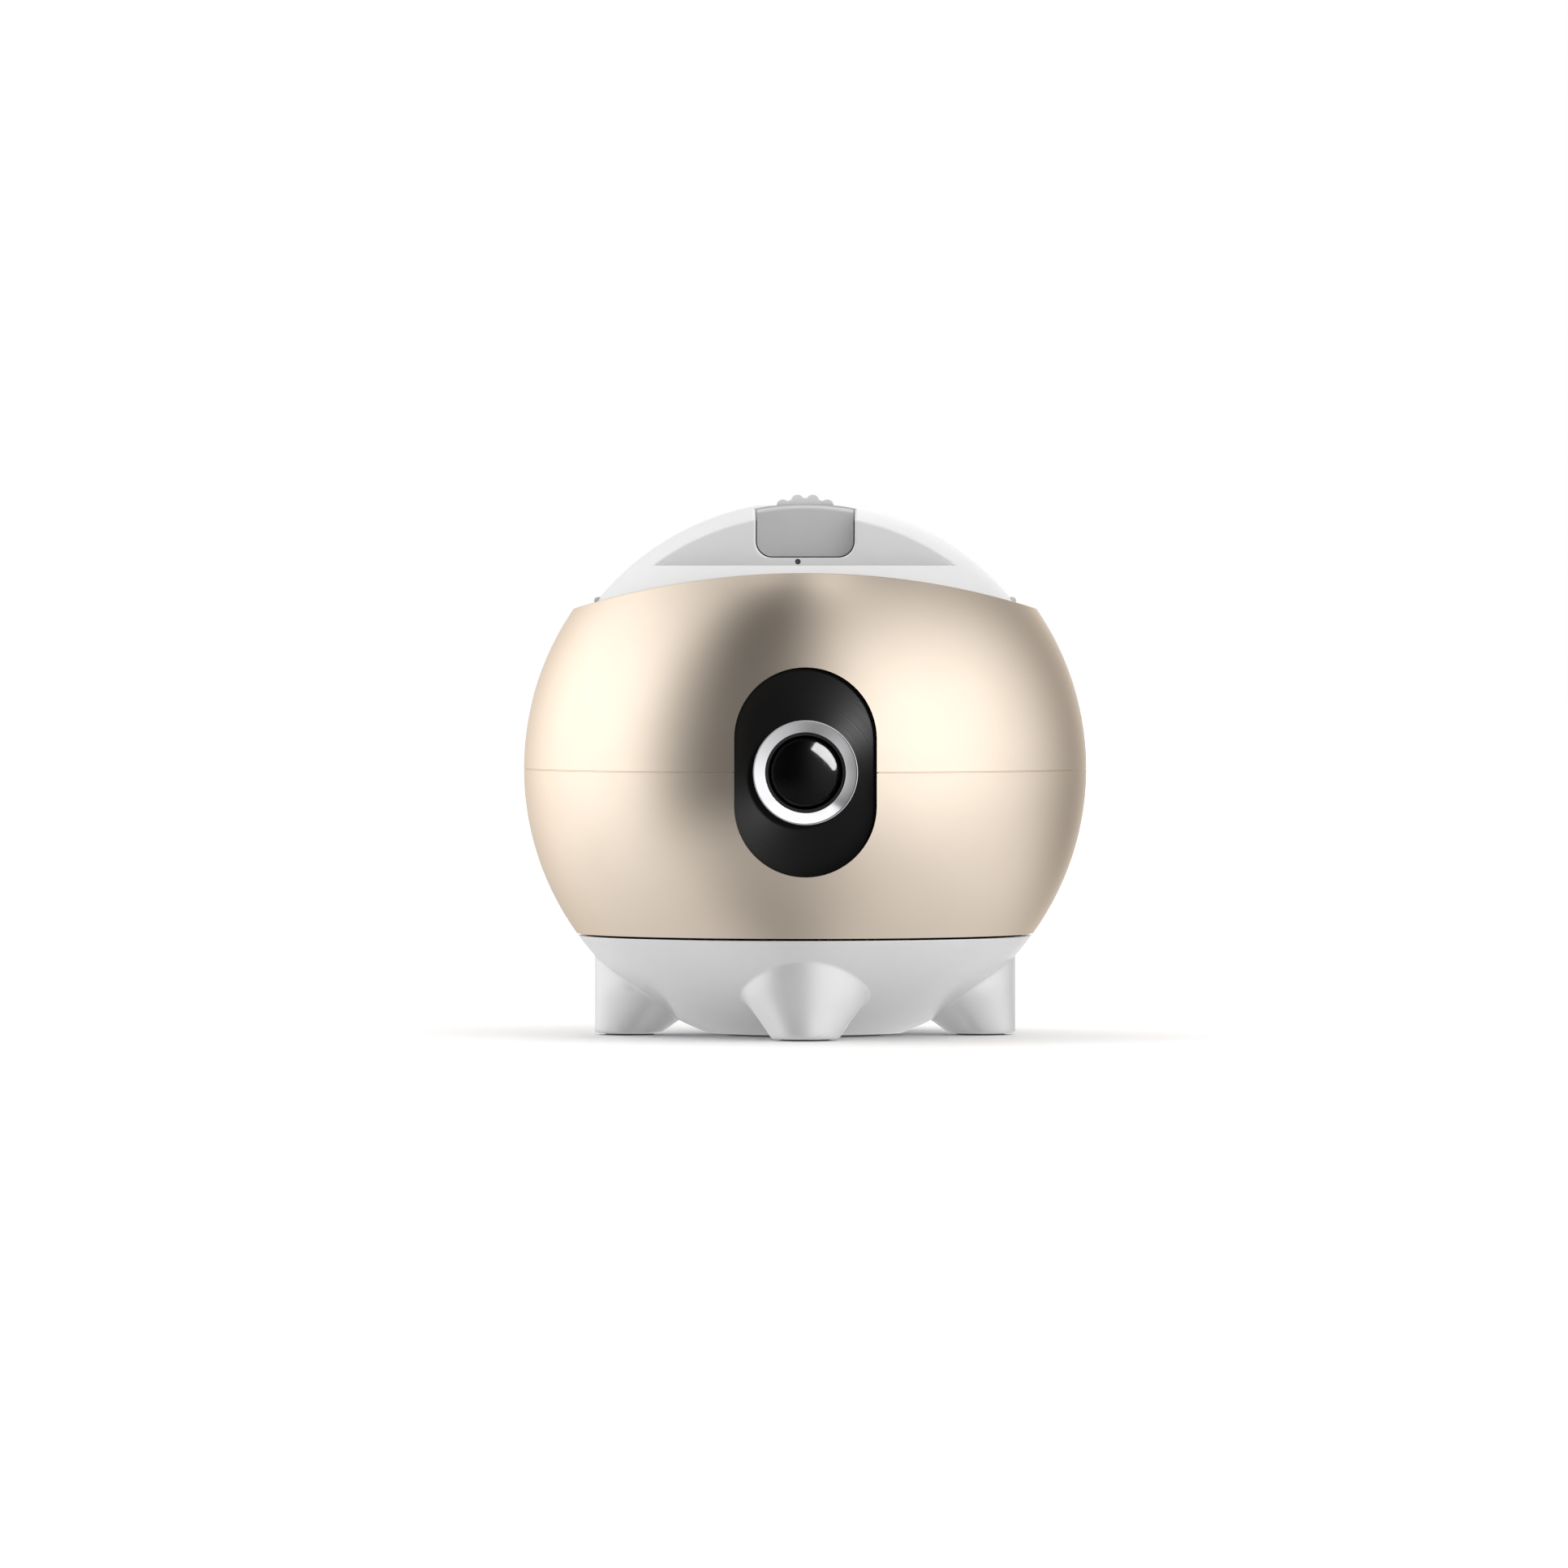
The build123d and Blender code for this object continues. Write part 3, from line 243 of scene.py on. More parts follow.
@dataclass(frozen=True)
class Finish:
    """One material: its colour, shine and the grain that its making left.

    grain_mm is the real size of the grain, and relief_mm its depth. The colour wanders to the second
    colour, and the roughness by its spread, over patches of patch_mm. edge_tint is a metal's colour at a
    glancing angle.
    """

    name: str
    colour: str
    second_colour: str
    metallic: float
    roughness: float
    grain: Grain
    grain_mm: float
    relief_mm: float
    roughness_spread: float = 0.06
    subsurface: float = 0.0
    edge_tint: str = "#FFFFFF"
    patch_mm: float = 9.0
    skin_mm: tuple[float, float, float] = (0.6, 0.5, 0.45)

    def pattern(self, tree: bpy.types.NodeTree, place: bpy.types.Node) -> bpy.types.Node:
        """The grain as a node whose output 0 runs from 0 to 1.

        Args:
            tree: the material's tree.
            place: the texture coordinate node.

        Returns:
            The pattern's node.
        """
        scale = 1 / (self.grain_mm * MM)
        where = {"Vector": (place, "Object")}
        if self.grain is Grain.SPARK:
            return add_node(tree, "ShaderNodeTexVoronoi", {"Scale": scale}, where, feature="SMOOTH_F1")
        if self.grain is Grain.FLAKE:
            return add_node(tree, "ShaderNodeTexVoronoi", {"Scale": scale}, where, feature="F1")
        detail = 4.0 if self.grain is Grain.ORANGE_PEEL else 2.0
        return add_node(tree, "ShaderNodeTexNoise", {"Scale": scale, "Detail": detail}, where)

    def build(self) -> bpy.types.Material:
        """The finished material."""
        material = bpy.data.materials.new(self.name)
        material.use_nodes = True
        tree = material.node_tree
        tree.nodes.clear()
        place = add_node(tree, "ShaderNodeTexCoord")
        pattern = self.pattern(tree, place)
        patches = add_node(
            tree, "ShaderNodeTexNoise", {"Scale": 1 / (self.patch_mm * MM), "Detail": 3.0},
            {"Vector": (place, "Object")}
        )
        colour = add_node(
            tree, "ShaderNodeMix", {6: linear(self.colour), 7: linear(self.second_colour)},
            {"Factor": (patches, 0)}, data_type="RGBA"
        )
        rough = add_node(
            tree, "ShaderNodeMapRange",
            {
                "To Min": self.roughness - self.roughness_spread,
                "To Max": self.roughness + self.roughness_spread,
            },
            {"Value": (patches, 0)}
        )
        bump = add_node(
            tree, "ShaderNodeBump", {"Strength": 1.0, "Distance": self.relief_mm * MM},
            {"Height": (pattern, 0)}
        )
        shader = add_node(
            tree, "ShaderNodeBsdfPrincipled",
            {
                "Metallic": self.metallic, "Specular Tint": linear(self.edge_tint),
                "Subsurface Weight": self.subsurface, "Subsurface Scale": 1.0,
                "Subsurface Radius": tuple(depth * MM for depth in self.skin_mm),
            },
            {"Base Color": (colour, 2), "Roughness": (rough, 0), "Normal": (bump, 0)}
        )
        add_node(tree, "ShaderNodeOutputMaterial", links={"Surface": (shader, 0)})
        return material


@dataclass(frozen=True)
class SpunBlack:
    """Black anodised aluminium plate, spun on a lathe about the lens.

    The rings are finer than the eye sees. They spread reflections away from the lens, so the light shows as
    two opposite fans. The anisotropy's direction is the place's own direction from the lens axis. The dye
    swallows most of the light, so the plate mirrors less than bare plastic does.
    """

    name: str
    centre: tuple[float, float, float]
    colour: str = "#020202"
    worn_colour: str = "#050505"
    ring_mm: float = 0.35
    roughness: float = 0.42
    roughness_spread: float = 0.05
    anisotropy: float = 0.95
    dyed_index: float = 1.25

    def build(self) -> bpy.types.Material:
        """The finished material."""
        material = bpy.data.materials.new(self.name)
        material.use_nodes = True
        tree = material.node_tree
        tree.nodes.clear()
        place = add_node(tree, "ShaderNodeTexCoord")
        arm = add_node(
            tree, "ShaderNodeVectorMath", {1: self.centre}, {0: (place, "Object")}, operation="SUBTRACT"
        )
        flat_arm = add_node(
            tree, "ShaderNodeVectorMath", {1: (1.0, 0.0, 1.0)}, {0: (arm, 0)}, operation="MULTIPLY"
        )
        radius = add_node(tree, "ShaderNodeVectorMath", links={0: (flat_arm, 0)}, operation="LENGTH")
        rings = add_node(
            tree, "ShaderNodeTexNoise", {"Scale": 1 / (self.ring_mm * MM), "Detail": 2.0},
            {"W": (radius, "Value")}, noise_dimensions="1D"
        )
        rough = add_node(
            tree, "ShaderNodeMapRange",
            {
                "To Min": self.roughness - self.roughness_spread,
                "To Max": self.roughness + self.roughness_spread,
            },
            {"Value": (rings, 0)}
        )
        colour = add_node(
            tree, "ShaderNodeMix", {6: linear(self.colour), 7: linear(self.worn_colour)},
            {"Factor": (rings, 0)}, data_type="RGBA"
        )
        shader = add_node(
            tree, "ShaderNodeBsdfPrincipled",
            {"Metallic": 0.0, "Anisotropic": self.anisotropy, "IOR": self.dyed_index},
            {"Base Color": (colour, 2), "Roughness": (rough, 0), "Tangent": (flat_arm, 0)}
        )
        add_node(tree, "ShaderNodeOutputMaterial", links={"Surface": (shader, 0)})
        return material


@dataclass(frozen=True)
class CoatedGlass:
    """Optical glass with an anti-reflection coating. Its dark tint is painted shade: it stands in for the
    shade inside the lens barrel, so whatever lies behind the glass reads black.

    The coating lowers what the glass reflects, as though its refractive index were lower. Fine dust makes
    the reflections a little soft in places.
    """

    name: str
    # Painted shade: this dark tint stands in for the shade inside the lens barrel.
    painted_shade_tint: str = "#3C3E44"
    coated_index: float = 1.25
    dust_mm: float = 0.8
    dust_cover: tuple[float, float] = (0.45, 0.8)
    roughness: tuple[float, float] = (0.09, 0.13)

    def build(self) -> bpy.types.Material:
        """The finished material."""
        material = bpy.data.materials.new(self.name)
        material.use_nodes = True
        tree = material.node_tree
        tree.nodes.clear()
        place = add_node(tree, "ShaderNodeTexCoord")
        dust = add_node(
            tree, "ShaderNodeTexNoise", {"Scale": 1 / (self.dust_mm * MM), "Detail": 5.0},
            {"Vector": (place, "Object")}
        )
        rough = add_node(
            tree, "ShaderNodeMapRange",
            {
                "From Min": self.dust_cover[0], "From Max": self.dust_cover[1],
                "To Min": self.roughness[0], "To Max": self.roughness[1],
            },
            {"Value": (dust, 0)}
        )
        shader = add_node(
            tree, "ShaderNodeBsdfPrincipled",
            {
                "Base Color": linear(self.painted_shade_tint), "Transmission Weight": 1.0, "IOR": self.coated_index,
            },
            {"Roughness": (rough, 0)}
        )
        add_node(tree, "ShaderNodeOutputMaterial", links={"Surface": (shader, 0)})
        return material


def finishes(lens_centre: tuple[float, float, float]) -> dict[str, bpy.types.Material]:
    """Every finish by the record's slot name.

    Args:
        lens_centre: a point on the lens axis, which the spun plate's rings go round.

    Returns:
        Slot name to material.
    """
    peel, spark, lathe = Grain.ORANGE_PEEL, Grain.SPARK, Grain.TURNED
    table = {
        # Plastic with aluminium flake under satin clear lacquer: soft wide reflections, a fine sparkle.
        "champagne_shell": Finish(
            "champagne_flake_lacquer", "#E8DACA", "#E5D6C5", 1.0, 0.29, Grain.FLAKE, 0.25, 0.0004,
            roughness_spread=0.02, edge_tint="#F5ECE2"
        ),
        # Gloss white ABS, moulded: nearly even, with a long soft orange peel.
        "cap_plastic": Finish(
            "gloss_white_abs", "#DDDDDD", "#D9D9D9", 0.0, 0.30, peel, 1.6, 0.0012, subsurface=0.15
        ),
        # Pearl white lacquer: a mild mirror in it shows the studio down the legs as soft upright bands.
        "white_plastic": Finish(
            "pearl_white_lacquer", "#DFDFE0", "#DBDBDC", 0.28, 0.24, peel, 1.2, 0.0008, subsurface=0.12
        ),
        # ABS from spark-eroded moulds: matt, with a fine even tooth that blurs every highlight.
        "key_grey": Finish("spark_grey_abs", "#BDBDBD", "#B8B8B8", 0.0, 0.5, spark, 0.35, 0.006),
        "trim_grey": Finish("moulded_light_grey_abs", "#DCDCDC", "#D7D7D7", 0.0, 0.42, spark, 0.3, 0.003),
        "black_plastic": Finish("spark_black_abs", "#0C0C0C", "#101010", 0.0, 0.45, spark, 0.3, 0.004),
        # Nylon with glass fibre: dull and slightly mottled.
        "grey_plastic": Finish("glass_filled_nylon", "#4A4A4C", "#454547", 0.0, 0.5, spark, 0.5, 0.008),
        # Moulded acetal: creamy, waxy, a little light passes into it.
        "gear_plastic": Finish(
            "natural_acetal", "#E6E2D3", "#E0DCCB", 0.0, 0.35, peel, 0.8, 0.002, subsurface=0.2
        ),
        # Printed solder resist over copper: glossy deep green.
        "circuit_board": Finish("solder_resist_green", "#0F4A2A", "#0C4125", 0.0, 0.3, peel, 0.7, 0.004),
        # Metals, turned, plated or anodised: a coloured mirror, blurred a little by the making.
        "ring_metal": Finish("turned_aluminium", "#D2D2D4", "#CCCCCE", 1.0, 0.2, lathe, 0.5, 0.0004),
        "motor_can": Finish("zinc_plated_steel", "#B9BBBF", "#AEB0B5", 1.0, 0.32, lathe, 0.6, 0.002),
        "heat_sink_metal": Finish(
            "grey_anodised_extrusion", "#77797D", "#707276", 1.0, 0.42, lathe, 0.5, 0.003
        ),
        "steel": Finish("turned_steel", "#A2A3A6", "#98999D", 1.0, 0.28, lathe, 0.4, 0.001),
        "brass": Finish("turned_brass", "#C9A15A", "#BF964F", 1.0, 0.3, lathe, 0.4, 0.001),
        # Moulded silicone rubber: grey and chalky, with hardly a highlight.
        "rubber": Finish("moulded_silicone_rubber", "#55565A", "#4F5054", 0.0, 0.7, spark, 0.3, 0.008),
        # Polished cover glass over dark silicon: nearly black, with a sharp highlight.
        "sensor_glass": Finish(
            "sensor_cover_glass", "#14181C", "#1A1F26", 0.0, 0.12, Grain.SMOOTH, 3.0, 0.0002
        ),
    }
    made = {slot: finish.build() for slot, finish in table.items()}
    made["window_plate"] = SpunBlack("spun_black_anodised_aluminium", lens_centre).build()
    # The lens glass carries a dark tint that is painted shade for the shade inside the lens barrel.
    made["lens_glass"] = CoatedGlass("coated_optical_glass").build()
    return made


# ---------------------------------------------------------------- sub-assemblies

@dataclass
class Ball:
    """Where the ball is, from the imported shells."""

    radius: float = 0.0
    centre: np.ndarray = field(default_factory=lambda: np.zeros(3))

    @classmethod
    def from_frame(cls) -> "Ball":
        """Reads the ball's radius and centre off the upper and lower shells' boxes."""
        upper_low, upper_high = (np.array(corner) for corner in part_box("upper_gold_shell"))
        _, lower_high = (np.array(corner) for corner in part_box("lower_gold_shell"))
        seam_z = (upper_low[2] + lower_high[2]) / 2
        return cls(radius=(upper_high[0] - upper_low[0]) / 2, centre=np.array([0.0, 0.0, seam_z]))


@dataclass
class Base:
    """The white bowl with its four flared legs."""

    ball: Ball
    wall: float = 2.0 * MM
    hub_opening: float = 14.0 * MM
    floor_top: float = 2.6 * MM
    leg_count: int = 4
    nose_reach: float = 37.4 * MM
    foot_round: float = 5.75 * MM
    cone_rise: float = 0.63
    cone_curl: float = 18.0
    widest_round: float = 12.9 * MM
    widest_fall: float = 0.1
    widest_blend: float = 1.6 * MM
    edge_round: float = 0.5 * MM
    join_round: float = 0.25 * MM
    hub_lift: float = 0.1 * MM
    inlet_deg: float = 45.0
    inlet_half_deg: float = 8.3
    inlet_play: float = 0.05 * MM
    leg_half_deg: float = 25.0
    leg_columns: int = 112
    gap_columns: int = 6
    inlet_columns: int = 10
    low_rows: int = 66
    inlet_rows: int = 12
    high_rows: int = 56
    inner_rows: int = 10
    halvings: int = 34
    search: tuple[float, float] = (0.9, 1.3)

    def leg_field(self, reach: np.ndarray, across: np.ndarray, height: np.ndarray, sole: float) -> np.ndarray:
        """How far inside a leg each point is, positive inside.

        Each level of a leg is a circle that touches the nose line, which stands upright. Its radius grows
        with height z as foot_round + cone_rise z + cone_curl z^2 until it meets the limit
        widest_round - widest_fall z, so the leg is a trumpet that leans outwards.

        Args:
            reach: distance out from the axis along the leg.
            across: distance to the side of the leg's middle.
            height: height over the floor.
            sole: the sole's height.

        Returns:
            The field.
        """
        grown = self.foot_round + self.cone_rise * height + self.cone_curl * height * np.abs(height)
        limit = self.widest_round - self.widest_fall * height
        around = soft_min(grown, limit, self.widest_blend)
        side = around - np.hypot(reach - (self.nose_reach - around), across)
        return soft_min(side, height - sole, self.edge_round)

    def outer_radius(self, azimuth: np.ndarray, polar: np.ndarray, sole: float) -> np.ndarray:
        """Distance from the ball's centre to the outside in each direction.

        Along each ray the leg's field changes sign once, and halving the interval finds where. The bowl is
        the ball itself, and the larger of the two distances is taken with a small fillet.

        Args:
            azimuth: directions round the axis, in radians.
            polar: angles from straight down, in radians.
            sole: the sole's height.

        Returns:
            The distances.
        """
        step = 2 * math.pi / self.leg_count
        from_leg = (azimuth + step / 2) % step - step / 2
        near = np.full(np.broadcast(azimuth, polar).shape, self.search[0] * self.ball.radius)
        far = np.full(near.shape, self.search[1] * self.ball.radius)
        for _ in range(self.halvings):
            middle = (near + far) / 2
            level = middle * np.sin(polar)
            height = self.ball.centre[2] - middle * np.cos(polar)
            inside = self.leg_field(level * np.cos(from_leg), level * np.sin(from_leg), height, sole) > 0
            near = np.where(inside, middle, near)
            far = np.where(inside, far, middle)
        return soft_max(np.full(near.shape, self.ball.radius), near, self.join_round)

    def azimuths(self) -> tuple[np.ndarray, int, int]:
        """Directions round the axis, close together over the legs, with two of them on the inlet's sides.

        Returns:
            The directions, and the numbers of the columns at the inlet's sides.
        """
        step = 360 / self.leg_count
        pieces = []
        for leg in range(self.leg_count):
            middle = leg * step
            side = middle + step / 2 - self.inlet_half_deg
            stops = (
                middle - self.leg_half_deg,
                middle + self.leg_half_deg,
                side,
                side + 2 * self.inlet_half_deg,
                middle + step - self.leg_half_deg,
            )
            counts = (self.leg_columns, self.gap_columns, self.inlet_columns, self.gap_columns)
            for start, end, count in zip(stops, stops[1:], counts):
                pieces.append(np.linspace(start, end, count, endpoint=False))
        degrees = np.concatenate(pieces)
        first = int(np.argmin(np.abs(degrees - (self.inlet_deg - self.inlet_half_deg))))
        return np.radians(degrees), first, first + self.inlet_columns

    def build(self) -> bpy.types.Object:
        """The bowl and legs as one closed wall, with the power inlet's opening through it.

        A place on the wall is (d sin p cos a, d sin p sin a, c - d cos p), where p is the angle from straight
        down, a the azimuth, c the ball's centre height and d the distance from it: the outer radius outside,
        and the ball's radius less the wall inside. Two more rows close the wall round the hub.

        Returns:
            The object.
        """
        low, high = (np.array(corner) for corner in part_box("base_shell"))
        inlet_low, inlet_high = (np.array(corner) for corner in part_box("power_inlet"))
        radius, centre_z = self.ball.radius, self.ball.centre[2]
        inner = radius - self.wall
        sole = low[2]
        hub_z = sole + self.hub_lift
        rim_z = high[2]
        azimuth, first_column, last_column = self.azimuths()
        polar_hub = math.acos((centre_z - hub_z) / radius)
        polar_rim = math.acos((centre_z - rim_z) / radius)
        mid_wall = radius - self.wall / 2
        opening_low = math.acos((centre_z - inlet_low[2] + self.inlet_play) / mid_wall)
        opening_high = math.acos((centre_z - inlet_high[2] - self.inlet_play) / mid_wall)
        inner_floor = math.acos((centre_z - self.floor_top) / inner)
        inner_rim = math.acos((centre_z - rim_z) / inner)
        outer_polar = np.concatenate([
            np.linspace(polar_hub, opening_low, self.low_rows, endpoint=False),
            np.linspace(opening_low, opening_high, self.inlet_rows, endpoint=False),
            np.linspace(opening_high, polar_rim, self.high_rows),
        ])
        inner_polar = np.concatenate([
            np.linspace(inner_rim, opening_high, self.inner_rows, endpoint=False),
            np.linspace(opening_high, opening_low, self.inlet_rows, endpoint=False),
            np.linspace(opening_low, inner_floor, self.inner_rows),
        ])
        outer = self.outer_radius(azimuth[None, :], outer_polar[:, None], sole)
        sine, cosine = np.sin(outer_polar)[:, None], np.cos(outer_polar)[:, None]
        outer_rows = np.stack([outer * sine, centre_z - outer * cosine], axis=-1)
        inner_line = np.stack([inner * np.sin(inner_polar), centre_z - inner * np.cos(inner_polar)], axis=-1)
        hub_line = np.array([[self.hub_opening, self.floor_top], [self.hub_opening, hub_z]])
        round_line = np.concatenate([inner_line, hub_line])
        round_rows = np.broadcast_to(round_line[:, None], (len(round_line), len(azimuth), 2))
        profile = np.concatenate([outer_rows, round_rows])
        points = np.stack(
            [profile[..., 0] * np.cos(azimuth), profile[..., 0] * np.sin(azimuth), profile[..., 1]], axis=-1
        )
        quads = grid_quads(len(profile), len(azimuth), wrap_rows=True)
        keep = np.ones(quads.shape[:2], dtype=bool)
        inner_first = len(outer_polar) + self.inner_rows
        outer_opening = (self.low_rows, self.low_rows + self.inlet_rows)
        inner_opening = (inner_first, inner_first + self.inlet_rows)
        for first_row, last_row in (outer_opening, inner_opening):
            keep[first_row:last_row, first_column:last_column] = False
        wall = self.opening_wall(len(azimuth), outer_opening, inner_opening, (first_column, last_column))
        return build_mesh("bowl_and_legs", points.reshape(-1, 3), [quads[keep], wall])

    @staticmethod
    def opening_wall(
        columns: int, outer: tuple[int, int], inner: tuple[int, int], sides: tuple[int, int]
    ) -> np.ndarray:
        """Quads that join the outer and inner edges of a rectangular opening in the wall.

        Args:
            columns: vertices in a row of the grid.
            outer: first and last row of the opening on the outside.
            inner: the same on the inside, where rows run the other way.
            sides: first and last column.

        Returns:
            The quads.
        """
        across = np.arange(sides[0], sides[1])
        beside = across + 1
        down = np.arange(outer[1] - outer[0])
        top_outer, low_outer = outer[1] * columns, outer[0] * columns
        top_inner, low_inner = inner[0] * columns, inner[1] * columns
        low = np.stack([
            low_outer + beside, low_outer + across, low_inner + across, low_inner + beside
        ], axis=-1)
        top = np.stack([
            top_outer + across, top_outer + beside, top_inner + beside, top_inner + across
        ], axis=-1)
        out_row = (outer[0] + down) * columns
        in_row = (inner[1] - down) * columns
        first = np.stack([
            out_row + sides[0], out_row + columns + sides[0], in_row - columns + sides[0], in_row + sides[0]
        ], axis=-1)
        last = np.stack([
            out_row + columns + sides[1], out_row + sides[1], in_row + sides[1], in_row - columns + sides[1]
        ], axis=-1)
        return np.concatenate([low[:, ::-1], top[:, ::-1], first[:, ::-1], last[:, ::-1]])

    def add(self, materials: dict[str, bpy.types.Material]) -> None:
        """Builds the base, dresses it and sets it on its body.

        Args:
            materials: slot name to material.
        """
        bowl = self.build()
        bowl.data.materials.append(materials["white_plastic"])
        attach(bowl, "base")
        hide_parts("base_shell")
        LOG.info("bowl and legs: %d faces", len(bowl.data.polygons))


@dataclass
class LensSet:
    """The bevelled ring and the domed front glass."""

    ring_crest: float = 0.25 * MM
    ring_bevel_depth: float = 1.0 * MM
    ring_edge: float = 0.12 * MM
    ring_back_edge: float = 0.02 * MM
    ring_play: float = 0.05 * MM
    ring_steps: int = 256
    dome: float = 1.7 * MM
    dome_rows: int = 40
    hollow: float = 0.8 * MM
    hollow_radius: float = 5.0 * MM
    hollow_rows: int = 24

    def ring(self) -> bpy.types.Object:
        """The ring: a straight outside, a narrow crest and a wide bevel that slopes in to the glass.

        Its section is a closed outline of five rounded corners, turned about the lens axis.

        Returns:
            The object.
        """
        low, high = (np.array(corner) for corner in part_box("lens_ring"))
        barrel_low, barrel_high = (np.array(corner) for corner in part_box("lens_barrel"))
        outer = (high[0] - low[0]) / 2
        inner = (barrel_high[0] - barrel_low[0]) / 2 + self.ring_play
        front, back = low[1], high[1]
        corners = [
            (inner, back, self.ring_back_edge),
            (outer, back, self.ring_back_edge),
            (outer, front, self.ring_edge),
            (outer - self.ring_crest, front, self.ring_edge),
            (inner, front + self.ring_bevel_depth, self.ring_edge),
        ]
        return turned("lens_bezel_ring", rounded_path(corners)[::-1], (low + high) / 2, self.ring_steps)

    def front_glass(self) -> bpy.types.Object:
        """The front element: a domed face, a ground edge and a slightly hollow back.

        The dome is an arc of a circle through the rim and the apex: y = apex + R - sqrt(R^2 - r^2). The
        hollow is a parabola: y = back - hollow + hollow (r / hollow_radius)^2.

        Returns:
            The object.
        """
        low, high = (np.array(corner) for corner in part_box("front_lens"))
        rim = (high[0] - low[0]) / 2
        curve = (rim ** 2 + self.dome ** 2) / (2 * self.dome)
        face_r = np.linspace(0, rim, self.dome_rows)
        face = np.stack([face_r, low[1] + curve - np.sqrt(curve ** 2 - face_r ** 2)], axis=-1)
        back_r = np.linspace(self.hollow_radius, 0, self.hollow_rows)
        back_y = high[1] - self.hollow + self.hollow * (back_r / self.hollow_radius) ** 2
        profile = np.concatenate([face, [[rim, high[1]]], np.stack([back_r, back_y], axis=-1)])
        return turned("front_glass", profile, (low + high) / 2)

    def add(self, materials: dict[str, bpy.types.Material]) -> tuple[bpy.types.Object, bpy.types.Object]:
        """Builds the ring and glass, dresses them and sets them on the tilting body.

        Args:
            materials: slot name to material.

        Returns:
            The ring and the front glass.
        """
        bezel, glass = self.ring(), self.front_glass()
        for piece, node, finish in ((bezel, "lens_ring", "ring_metal"), (glass, "front_lens", "lens_glass")):
            piece.data.materials.append(materials[finish])
            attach(piece, "camera")
            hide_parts(node)
            LOG.info("%s: %d faces", piece.name, len(piece.data.polygons))
        return bezel, glass


@dataclass
class SeamGasket:
    """The thin strip that closes the gap between the gold shells, all round but for the window."""

    ball: Ball
    depth: float = 0.15 * MM
    width: float = 2.0 * MM
    play: float = 0.004 * MM
    window_width: float = 24.9 * MM
    window_play: float = 0.3 * MM
    steps: int = 240

    def build(self) -> bpy.types.Object:
        """A flat rectangle of section carried round the seam, with both of its ends closed.

        Each place is (r cos a, r sin a, z), where r and z are a corner of the section and a is the angle.

        Returns:
            The object.
        """
        upper_low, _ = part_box("upper_gold_shell")
        _, lower_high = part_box("lower_gold_shell")
        outer = self.ball.radius - self.depth
        inner = outer - self.width
        open_angle = math.asin((self.window_width / 2 + self.window_play) / outer)
        angle = np.linspace(-math.pi / 2 + open_angle, 3 * math.pi / 2 - open_angle, self.steps)[:, None]
        low, high = lower_high[2] + self.play, upper_low[2] - self.play
        section = np.array([[outer, low], [outer, high], [inner, high], [inner, low]])
        corners = len(section)
        radius, height = section[:, 0], np.broadcast_to(section[:, 1], (self.steps, corners))
        points = np.stack([radius * np.cos(angle), radius * np.sin(angle), height], axis=-1).reshape(-1, 3)
        sides = grid_quads(self.steps, corners, wrap_rows=False).reshape(-1, 4)[:, ::-1]
        first_end = np.arange(corners)
        last_end = (first_end + (self.steps - 1) * corners)[::-1]
        faces = np.concatenate([sides, [first_end], [last_end]])
        return build_mesh("seam_gasket", points, [faces], smooth=False)

    def add(self, materials: dict[str, bpy.types.Material]) -> None:
        """Builds the gasket, dresses it and sets it on the head.

        Args:
            materials: slot name to material.
        """
        gasket = self.build()
        gasket.data.materials.append(materials["champagne_shell"])
        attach(gasket, "head")
        LOG.info("%s: %d faces", gasket.name, len(gasket.data.polygons))


def dress_frame(frame: dict, materials: dict[str, bpy.types.Material]) -> None:
    """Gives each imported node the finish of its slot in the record.

    Args:
        materials: slot name to material.
    """
    slots = {entry["node"]: entry["material_slot"] for entry in frame["record"]["subparts"]}
    for node, piece in frame["nodes"].items():
        material = materials[slots[node]]
        if not piece.data.materials:
            piece.data.materials.append(material)
        for holder in piece.material_slots:
            holder.material = material
        LOG.info("%s: %s", node, material.name)


# ---------------------------------------------------------------- studio

@dataclass(frozen=True)
class Card:
    """One small soft light, which falls on a single piece."""

    name: str
    azimuth: float
    elevation: float
    size: tuple[float, float]
    watts: float
    roll: float = 0.0
    distance: float = 0.9

    def add(self, target: np.ndarray, receiver: bpy.types.Object) -> None:
        """Hangs the card so that it faces the target.

        The azimuth is degrees from the camera's side, positive to its right, the elevation is degrees above
        the horizon, and the roll is the card's turn in its own plane.

        Args:
            target: the place that it faces.
            receiver: the only piece that it lights.
        """
        data = bpy.data.lights.new(self.name, "AREA")
        data.shape = "RECTANGLE"
        data.size, data.size_y = self.size
        data.energy = self.watts
        light = bpy.data.objects.new(self.name, data)
        lit = bpy.data.collections.new(self.name + "_receivers")
        lit.objects.link(receiver)
        light.light_linking.receiver_collection = lit
        side, up = math.radians(self.azimuth), math.radians(self.elevation)
        direction = np.array([math.sin(side) * math.cos(up), -math.cos(side) * math.cos(up), math.sin(up)])
        light.location = target + self.distance * direction
        aim = Euler((math.pi / 2 - up, 0, side)).to_matrix()
        light.rotation_euler = (aim @ Matrix.Rotation(math.radians(self.roll), 3, "Z")).to_euler()
        bpy.context.scene.collection.objects.link(light)


